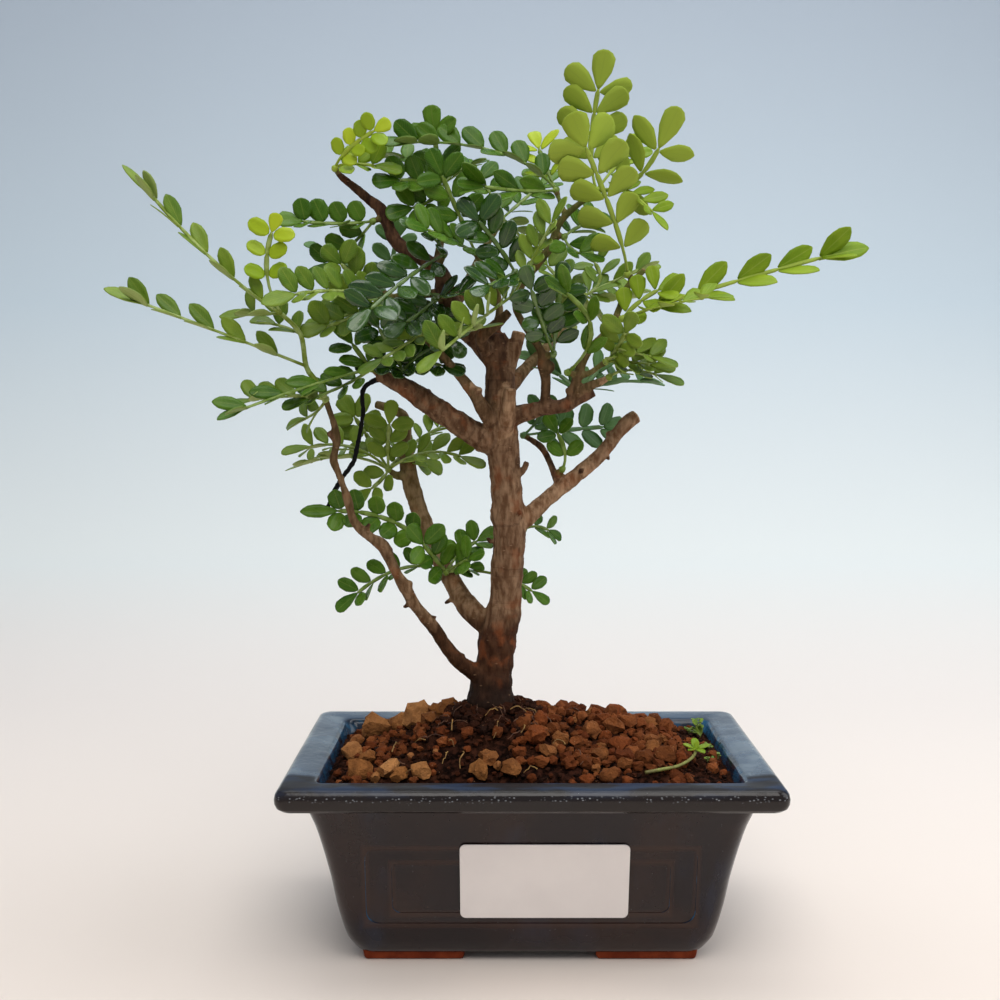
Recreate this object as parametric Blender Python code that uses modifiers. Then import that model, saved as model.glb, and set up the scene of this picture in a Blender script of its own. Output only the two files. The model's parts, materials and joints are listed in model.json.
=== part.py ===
"""Chinese pepper bonsai with its pot, for Blender 4.5.

Units are metres, +Z is up. The pot stands on z = 0. Places on the tree are hand-chosen points in
millimetres, as (across, height, depth): across and height as they look from the front on the upright
plane through the middle of the pot, and depth along that line of sight, away from the viewer.
"""
import math
import random

import bmesh
import bpy
from mathutils import Matrix, Vector
from mathutils.bvhtree import BVHTree

MM = 0.001
GAP = 0.3 * MM                      # air between two pieces that touch
SEED = 26

# The eye that the front view's places are seen from, and how far the pot's middle is from the origin.
EYE = Vector((-9.45, -404.8, 174.2))
POT_SHIFT = Vector((13.45, -2.3, 0.0))

# Pot: half width across X and height of each ring, up the wall, over the lip and down the inside. The half
# depth is less than the half width by POT_SLIM everywhere.
POT_SLIM = 27.5
POT_WALL = ((53.6, 2.6), (55.2, 4.2), (57.4, 8.0), (58.9, 13.5), (60.3, 20.0), (61.6, 28.0), (63.2, 35.5),
            (65.0, 43.0), (66.9, 49.0), (68.5, 53.5))
POT_LIP = ((74.0, 54.6), (75.6, 56.2), (76.0, 58.0), (75.4, 59.6), (73.4, 60.7), (66.6, 61.0), (64.8, 60.0))
POT_INSIDE = ((64.0, 57.0), (61.6, 48.0), (57.6, 30.0), (54.6, 15.0), (52.0, 10.0))
WALL_CORNER = 6.0
LIP_CORNER = 3.5
SOIL_CORNER = 5.0
FOOT_HEIGHT = 2.6
FOOT_OFFSET = (36.4, 20.4)
FOOT_HALF_LOW = (16.0, 5.8)
FOOT_HALF_HIGH = (16.4, 6.2)
FOOT_CORNER = 2.0
CORNER_STEPS = 3
POT_FLOOR = 10.0
DRAIN_RADIUS = 6.0
DRAIN_SIDES = 16
DRAIN_MIDDLE = 7.0
DRAIN_CUT = 20.0
DRAIN_OFFSET = 28.0
PAD_SIZE = 20.0
PAD_THICK = 1.0
PANEL_WIDTH = 101.0
PANEL_HEIGHT = 26.0
PANEL_MIDDLE = 26.5
PANEL_DEPTH = 0.8
PANEL_CORNER = 4.0
PANEL_TOOL = 4.0
LABEL_WIDTH = 51.5
LABEL_HEIGHT = 25.8
LABEL_THICK = 0.5
LABEL_CORNER = 1.8
LABEL_CENTRE = (4.1, 28.6)

# Soil: height at the wall, the dome over it, the heap at the right, the mound round the trunk, the ripple in
# it and the granules on it.
SOIL_EDGE = 56.5
SOIL_AIR = 0.45
SOIL_TOP = 90.0
SOIL_SHEET = (136, 82)
SOIL_ROWS = (15, 9)
DOME_HEIGHT = 6.5
DOME_REACH = (64, 37)
HEAP_HEIGHT = 4.5
HEAP_PLACE = (24, 14)
HEAP_REACH = (26, 20)
MOUND_HEIGHT = 11.5
MOUND_REACH = 22.0
RIPPLE_HEIGHT = 0.5
RIPPLE_WAVES = (0.55, 0.6)
STONES = 30
STONE_FIELD = (59, 32.5)
STONE_EDGE = (61.5, 34.8)
BIG_STONE = (2.9, 4.1)
SMALL_STONE = (2.1, 3.1)
BARE_RING = 13.0
WEED_ROOT = (35.0, -29.5)
WEED_ROUTE = ((0, 0, 1.6), (5, 1.2, 2.2), (11, 4.4, 2.4), (16, 9.5, 3.6), (17.5, 12, 5.5))
WEED_DEPTH = 4.0
WEED_ROOM = 1.6
WEED_HOLE = 1.0
WEED_STEM = 0.55
WEED_LEAVES = 5
WEED_LEAF = 5.2

# Foliage
BLADE_THICK = 0.62
BLUNT_LEAFLET = ((0.5, -1.0), (0.95, -0.36), (0.95, 0.36), (0.5, 1.0))
SLIM_LEAFLET = ((0.55, -1.0), (1.0, 0.0), (0.55, 1.0))
ROUND_FROM = 0.7                    # width over length from which a leaflet is blunt
RIB_HALF = 0.72
JOINT_HALF = 0.62
BUD_RADIUS = 1.35
BUD_AIR = 1.2 * GAP
LEAF_SWEEP = 34.0
LOOSE_SWEEP = 48.0
LOOSE_FROM = 1.1                    # pair spacing over leaflet length from which leaflets lean forward
END_PAIR_SWEEP = 22.0
END_PAIR_LIFT = 0.15
SHINGLE = 14.0                      # turn of each leaflet about its own length, in degrees
FIRST_PAIR_SIZE = 0.82
RIB_STEPS = 60
CLEARANCE = 0.95
WOOD_CLEARANCE = 1.05
SHARED_REACH = 4.5                  # reach round a bud in which its own fronds may meet
BUD_REACH = 3.0
DEPTH_TRIALS = (0, -5, 5, -10, 10, -15, 15, -21, 21, -27, 27, -34, 34)
FACE_TRIALS = (0, 22, -22)
RISE_TRIALS = (0, 5, -5)


def mm(x, y, z):
    """A point in metres from millimetres in the pot's own frame."""
    return (Vector((x, y, z)) + POT_SHIFT) * MM


def seen(place):
    """A point in metres from a place given as across, height and depth."""
    across, height, depth = place[:3]
    flat = Vector((across, 0.0, height))
    reach = (-EYE.y + depth) / -EYE.y
    return (EYE + (flat - EYE) * reach + POT_SHIFT) * MM


def clear_scene():
    for obj in list(bpy.data.objects):
        bpy.data.objects.remove(obj, do_unlink=True)


def collection(name):
    made = bpy.data.collections.new(name)
    bpy.context.scene.collection.children.link(made)
    return made


def material(name, colour, roughness, metallic=0.0):
    made = bpy.data.materials.new(name)
    made.use_nodes = True
    shader = made.node_tree.nodes["Principled BSDF"]
    shader.inputs["Base Color"].default_value = (*colour, 1.0)
    shader.inputs["Roughness"].default_value = roughness
    shader.inputs["Metallic"].default_value = metallic
    return made


def new_object(name, mesh, group, finish=None):
    obj = bpy.data.objects.new(name, mesh)
    group.objects.link(obj)
    if finish is not None:
        mesh.materials.clear()
        mesh.materials.append(finish)
    return obj


def mesh_from(bm, name):
    mesh = bpy.data.meshes.new(name)
    bm.to_mesh(mesh)
    bm.free()
    return mesh


def evaluated_mesh(obj):
    """The mesh of an object as its modifiers leave it, with loose curve caps welded."""
    bpy.context.view_layer.update()
    view = obj.evaluated_get(bpy.context.evaluated_depsgraph_get())
    mesh = bpy.data.meshes.new_from_object(view)
    bm = bmesh.new()
    bm.from_mesh(mesh)
    bmesh.ops.remove_doubles(bm, verts=bm.verts, dist=0.0001 * MM)
    bmesh.ops.recalc_face_normals(bm, faces=bm.faces)
    bm.to_mesh(mesh)
    bm.free()
    return mesh


def boolean(target, operation, other=None, group=None, solver="EXACT"):
    """Applies one Boolean with an object or a collection."""
    change = target.modifiers.new("Boolean", "BOOLEAN")
    change.operation = operation
    change.solver = solver
    if group is not None:
        change.operand_type = "COLLECTION"
        change.collection = group
    else:
        change.object = other
    mesh = evaluated_mesh(target)
    target.modifiers.clear()
    finishes = [slot.material for slot in target.material_slots]
    target.data = mesh
    mesh.materials.clear()
    for finish in finishes:
        mesh.materials.append(finish)


def drop(objects):
    for obj in list(objects):
        bpy.data.objects.remove(obj, do_unlink=True)


def rounded_ring(half_x, half_y, radius, height):
    """Points of a rectangle with round corners, in the pot's frame, counter-clockwise."""
    points = []
    for quarter, (sign_x, sign_y) in enumerate(((1, 1), (-1, 1), (-1, -1), (1, -1))):
        centre = (sign_x * (half_x - radius), sign_y * (half_y - radius))
        for step in range(CORNER_STEPS + 1):
            angle = math.pi / 2 * (quarter + step / CORNER_STEPS)
            x, y = centre[0] + radius * math.cos(angle), centre[1] + radius * math.sin(angle)
            points.append(mm(x, y, height))
    return points


def loft(rings):
    """A closed body through rings of equal point count, with flat caps."""
    bm = bmesh.new()
    rows = [[bm.verts.new(point) for point in ring] for ring in rings]
    count = len(rows[0])
    for low, high in zip(rows, rows[1:]):
        for i in range(count):
            j = (i + 1) % count
            bm.faces.new((low[i], low[j], high[j], high[i]))
    bm.faces.new(reversed(rows[0]))
    bm.faces.new(rows[-1])
    bmesh.ops.recalc_face_normals(bm, faces=bm.faces)
    return bm


def pot_ring(half_x, height, radius):
    return rounded_ring(half_x, half_x - POT_SLIM, radius, height)


def wall_half(height):
    """Half width of the pot's outer wall at a height, by straight steps between its rings."""
    for (half_a, low), (half_b, high) in zip(POT_WALL, POT_WALL[1:]):
        if low <= height <= high:
            return half_a + (half_b - half_a) * (height - low) / (high - low)
    return POT_WALL[-1][0]


def rounded_block(name, size, radius, depth, group):
    """A flat block with round corners, standing upright and facing -Y, centred on the origin."""
    curve = bpy.data.curves.new(name, "CURVE")
    curve.dimensions = "2D"
    curve.fill_mode = "BOTH"
    curve.extrude = depth * MM / 2
    outline = curve.splines.new("POLY")
    points = rounded_ring(size[0] / 2, size[1] / 2, radius, 0.0)
    outline.points.add(len(points) - 1)
    for target, point in zip(outline.points, points):
        target.co = (*(point - POT_SHIFT * MM), 1.0)
    outline.use_cyclic_u = True
    flat = bpy.data.objects.new(name, curve)
    group.objects.link(flat)
    mesh = evaluated_mesh(flat)
    bpy.data.objects.remove(flat, do_unlink=True)
    mesh.transform(Matrix.Rotation(math.pi / 2, 4, "X"))
    return new_object(name, mesh, group)


def wall_face(height_low, height_high, side, sunk=0.0):
    """Middle and lean of the chord of a front or end wall between two heights, its foot sunk inwards."""
    low, high = wall_half(height_low) - sunk, wall_half(height_high)
    slim = POT_SLIM if side == "front" else 0.0
    middle = (low + high) / 2 - slim
    lean = math.atan2(high - low, height_high - height_low)
    return middle, lean


def place_on_wall(obj, across, height, out, middle, lean, turn):
    """Lays an upright block on a leaning wall. turn is the wall's bearing round the pot."""
    lay = Matrix.Rotation(lean, 4, "X")
    shift = Matrix.Translation(Vector((across * MM, -(middle + out) * MM, height * MM)))
    obj.data.transform(Matrix.Translation(POT_SHIFT * MM) @ Matrix.Rotation(turn, 4, "Z") @ shift @ lay)


def make_pot(parts, cutters, finish):
    rings = [pot_ring(half, height, WALL_CORNER) for half, height in POT_WALL]
    rings += [pot_ring(half, height, LIP_CORNER) for half, height in POT_LIP]
    rings += [pot_ring(half, height, SOIL_CORNER) for half, height in POT_INSIDE]
    pot = new_object("pot", mesh_from(loft(rings), "pot"), parts, finish)
    low, high = PANEL_MIDDLE - PANEL_HEIGHT / 2, PANEL_MIDDLE + PANEL_HEIGHT / 2
    for index in range(4):
        side = "front" if index % 2 == 0 else "end"
        middle, lean = wall_face(low, high, side)
        width = PANEL_WIDTH if side == "front" else PANEL_WIDTH - 2 * POT_SLIM
        block = rounded_block(f"panel_cut_{index}", (width, PANEL_HEIGHT), PANEL_CORNER, PANEL_TOOL, cutters)
        out = PANEL_TOOL / 2 - PANEL_DEPTH
        place_on_wall(block, 0.0, PANEL_MIDDLE, out, middle, lean, index * math.pi / 2)
    for side in (-1, 1):
        hole = bmesh.new()
        bmesh.ops.create_cone(hole, cap_ends=True, segments=DRAIN_SIDES, radius1=DRAIN_RADIUS * MM,
                              radius2=DRAIN_RADIUS * MM, depth=DRAIN_CUT * MM,
                              matrix=Matrix.Translation(mm(side * DRAIN_OFFSET, 0, DRAIN_MIDDLE)))
        new_object(f"drain_cut_{side}", mesh_from(hole, "drain_cut"), cutters)
    boolean(pot, "DIFFERENCE", group=cutters)
    drop(cutters.objects)
    for sign_x in (-1, 1):
        for sign_y in (-1, 1):
            offset = Vector((sign_x * FOOT_OFFSET[0], sign_y * FOOT_OFFSET[1], 0)) * MM
            foot = loft([rounded_ring(*FOOT_HALF_LOW, FOOT_CORNER, 0.0),
                         rounded_ring(*FOOT_HALF_HIGH, FOOT_CORNER, FOOT_HEIGHT + 1.5)])
            bmesh.ops.translate(foot, vec=offset, verts=foot.verts)
            new_object(f"foot_{sign_x}_{sign_y}", mesh_from(foot, "foot"), cutters)
    boolean(pot, "UNION", group=cutters)
    drop(cutters.objects)
    return pot


def make_label(parts, finish):
    """The sticker. Its foot lies in the panel and its top on the wall above the panel."""
    across, height = LABEL_CENTRE
    middle, lean = wall_face(height - LABEL_HEIGHT / 2, height + LABEL_HEIGHT / 2, "front", PANEL_DEPTH)
    label = rounded_block("label", (LABEL_WIDTH, LABEL_HEIGHT), LABEL_CORNER, LABEL_THICK, parts)
    place_on_wall(label, across, height, LABEL_THICK / 2 + GAP / MM, middle, lean, 0.0)
    label.data.materials.append(finish)
    return label


def make_pads(parts, finish):
    for name, side in (("drain_mesh_left", -1), ("drain_mesh_right", 1)):
        bm = bmesh.new()
        bmesh.ops.create_cube(bm, size=1.0)
        bmesh.ops.scale(bm, vec=(PAD_SIZE * MM, PAD_SIZE * MM, PAD_THICK * MM), verts=bm.verts)
        middle = mm(side * DRAIN_OFFSET, 0, POT_FLOOR + PAD_THICK / 2) + Vector((0, 0, GAP))
        bmesh.ops.translate(bm, vec=middle, verts=bm.verts)
        new_object(name, mesh_from(bm, name), parts, finish)


# Wood: each limb is a list of places with its radius in millimetres as the fourth number.
WOOD = {
    "stem": [(-12.5, 54, 3, 6.6), (-12.5, 66, 3, 7.0), (-12.6, 76, 3, 7.4), (-12.2, 83, 3, 6.8),
             (-10.9, 90, 3, 6.1), (-10.3, 97, 3, 6.2), (-8.6, 104, 3, 5.9), (-7.6, 110, 3, 5.3),
             (-7.1, 120, 2, 5.2), (-6.3, 130, 2, 5.4), (-6.8, 138, 2, 5.5), (-7.4, 147, 2, 5.1),
             (-8.2, 156, 2, 5.3), (-9.1, 165, 1, 5.6), (-9.4, 173, 1, 5.2), (-9.5, 183, 1, 4.9),
             (-10.2, 191, 1, 4.5), (-10.8, 196, 1, 3.2)],
    "top_stub": [(-6.8, 184, 1, 2.2), (-4.6, 191, 0, 2.2), (-3.3, 196.6, 0, 2.3)],
    "front_stub": [(-7.6, 165, -3, 2.6), (-7.0, 171, -5, 2.5), (-6.1, 178.6, -6, 2.1)],
    "left_main": [(-10, 160, 1, 4.4), (-17, 163.5, 0, 4.2), (-25, 168.6, -2, 3.8), (-33, 174, -3, 3.6),
                  (-40, 178.8, -4, 3.1), (-48, 182.6, -6, 2.0)],
    "left_small": [(-11, 166, -2, 2.8), (-15, 172, -5, 2.4), (-18, 177, -6, 2.0), (-22.8, 183, -7, 1.6),
                   (-27.5, 188.3, -9, 1.4), (-33, 194, -12, 1.1)],
    "left_small_stub": [(-17.2, 175.6, -6, 1.6), (-16.6, 178.8, -7, 1.5)],
    "dark_main": [(-11, 188, 1, 4.2), (-15.5, 193.5, 1, 4.0), (-20, 197.5, 0, 3.9), (-24.5, 203, -1, 3.6),
                  (-27, 209.5, -1, 3.2), (-28, 214.5, 0, 2.8), (-33, 219, 1, 2.4), (-40, 222.8, 2, 2.3),
                  (-43.6, 226.6, 3, 2.2), (-45.4, 231, 3, 1.9), (-47.6, 235.6, 3, 2.1),
                  (-51.2, 238.4, 3, 1.6), (-55.5, 242, 4, 1.4), (-60.3, 245.8, 4, 1.1)],
    "bark_arm": [(-13.5, 190, -3, 2.4), (-15.5, 194.6, -7, 2.1), (-11, 198.6, -9, 1.8),
                 (-6.4, 203, -10, 1.3)],
    "right_top": [(-8, 168.5, 0, 3.4), (-2, 170.4, -2, 3.0), (5, 172.2, -5, 2.5), (11, 172.8, -7, 2.3),
                  (15.5, 175, -8, 2.1), (20.8, 177.5, -9, 1.7)],
    "right_top_fork": [(14, 174.6, -8, 1.7), (17.6, 178.4, -10, 1.5), (23.2, 180.6, -11, 1.3)],
    "right_upright": [(5, 171.5, -5, 1.9), (5.3, 180.5, -8, 1.6), (4.7, 185.4, -9, 2.0),
                      (3.7, 190.4, -10, 1.4), (0.8, 195.2, -11, 1.3), (-2.8, 200.6, -12, 1.2),
                      (-4.4, 205.4, -12, 1.2), (-2.4, 211.6, -10, 1.2), (2.6, 218, -6, 1.3),
                      (7.2, 224.4, -3, 1.5), (8.8, 229.8, -2, 1.3), (11.8, 233.6, -1, 1.1),
                      (15.4, 236.8, 0, 1.0), (19.6, 239.4, 1, 0.9)],
    "right_shoot": [(13.4, 174.2, -8, 1.8), (15, 180.4, -9, 1.6), (16.6, 185.4, -9, 1.5),
                    (19.2, 190.6, -9, 1.3), (23.4, 195.2, -8, 1.2), (26.6, 199, -7, 1.15),
                    (29, 204.4, -6, 1.1), (31.4, 210.8, -6, 1.05), (37, 216.4, -6, 0.9)],
    "right_shoot_spur": [(16.4, 182.4, -9, 1.0), (19.4, 183.4, -11, 1.0), (22.6, 185.6, -12, 0.9)],
    "right_cut": [(-4, 134, 3, 3.2), (1.4, 138.6, 4, 3.0), (6, 142.8, 5, 2.6), (11.2, 147, 6, 2.6),
                  (16.4, 151.2, 7, 2.5), (21.2, 155.2, 8, 2.5), (25.4, 159.8, 9, 2.2),
                  (28.4, 163.8, 10, 2.2), (31.4, 167.2, 11, 2.5), (34.6, 169.6, 12, 2.3)],
    "right_cut_spur": [(9.4, 148, 6, 1.4), (6.4, 155.2, 10, 1.1), (4, 159.4, 12, 1.2), (0.4, 162, 14, 1.0)],
    "trunk_spur": [(-5, 149.6, 0, 1.4), (-1.9, 152, -1, 1.1), (-0.8, 154.8, -2, 1.0)],
    "mid_left": [(-9, 98, 3, 4.0), (-15, 102.6, 5, 3.9), (-19.4, 106.8, 6, 3.7), (-22.4, 111, 8, 3.3),
                 (-25, 115.6, 9, 3.2), (-29, 123, 12, 3.0), (-32.8, 131.4, 14, 2.9), (-36, 140, 16, 2.9),
                 (-38.4, 148, 17, 3.0), (-39.6, 156, 18, 2.6), (-40, 163, 19, 2.2), (-41, 170, 21, 1.8),
                 (-49.6, 173.4, 24, 1.5)],
    "mid_left_spur": [(-38.6, 150.4, 16, 1.7), (-43.2, 150.2, 15, 1.5)],
    "low_left": [(-13, 82, 2, 3.4), (-18.4, 86, 0, 3.0), (-23, 89.2, -2, 2.4), (-27.6, 95, -4, 2.2),
                 (-31, 100.2, -5, 2.2), (-37, 107.6, -7, 1.9), (-40.6, 114, -8, 2.1), (-43, 118, -9, 1.7),
                 (-45.6, 123.4, -9, 1.8), (-47.6, 127.4, -10, 2.2), (-51.4, 130, -11, 1.6),
                 (-55.4, 133.4, -11, 1.5), (-57.6, 137, -12, 1.3), (-58.8, 142, -12, 1.5),
                 (-60.4, 147, -12, 1.1), (-61.8, 151, -12, 1.1), (-63.4, 155.2, -12, 1.4),
                 (-62.8, 158.6, -12, 1.2), (-62.2, 162, -12, 1.3), (-63, 166.6, -12, 1.1),
                 (-64.8, 172, -12, 1.0)],
    "low_left_stub": [(-62.4, 161.4, -12, 1.0), (-65.2, 164.4, -13, 0.9)],
    "left_twig": [(-27, 209, 0, 1.6), (-36, 208.4, 3, 1.3), (-45, 207.6, 0, 1.1)],
    "top_twig": [(-30, 216, 1, 1.6), (-28.6, 224, 5, 1.3), (-27.2, 232, 7, 1.1), (-27.8, 239, 8, 0.9)],
    "centre_twig": [(-12, 193, 1, 1.8), (-9.6, 203, 5, 1.3), (-11.6, 212.6, 5, 1.1),
                    (-16.2, 219.6, 3, 0.9)],
    "first_twig": [(11.4, 233, -1, 1.0), (10.2, 236.6, 1, 0.9), (9.2, 239, 2, 0.8)],
    "back_right": [(-8, 177, 3, 2.8), (-1.6, 184.4, 10, 2.1), (6, 192, 18, 1.7), (12, 200, 25, 1.4),
                   (16, 206, 30, 1.0)],
    "back_left": [(-22.5, 200, 2, 2.4), (-30, 203, 12, 1.9), (-38, 206, 22, 1.5), (-45, 208, 30, 1.1)],
    "back_top": [(-24.6, 204, 1, 2.2), (-20, 212, 12, 1.7), (-15, 222, 20, 1.3), (-10, 230, 26, 1.0)],
    "dead_twig": [(-47, 182, -6, 1.1), (-51, 180.4, -4, 0.9), (-53.8, 177.6, -3, 0.9),
                  (-53.6, 172, -2, 0.8), (-54.4, 166, -2, 0.8), (-55.6, 160, -2, 0.8),
                  (-56.9, 155, -2, 0.9), (-60, 150.4, -2, 0.8), (-62.8, 146, -2, 0.9),
                  (-64.6, 142.4, -2, 0.7), (-66, 138.4, -3, 0.9)],
}
KNOBS = [(-13.2, 138.8, 0, 1.3), (-17.2, 157.4, 0, 1.2), (-1.2, 141.2, 0, 1.1), (25.2, 164.2, 10, 1.3),
         (-21.6, 91.2, -2, 1.0), (-5, 81, 1, 1.2), (-39.2, 114.8, -8, 1.2), (-31.6, 179.4, 2, 1.9),
         (4.8, 185.2, -9, 1.9), (12.6, 177.8, -9, 1.3)]

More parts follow.
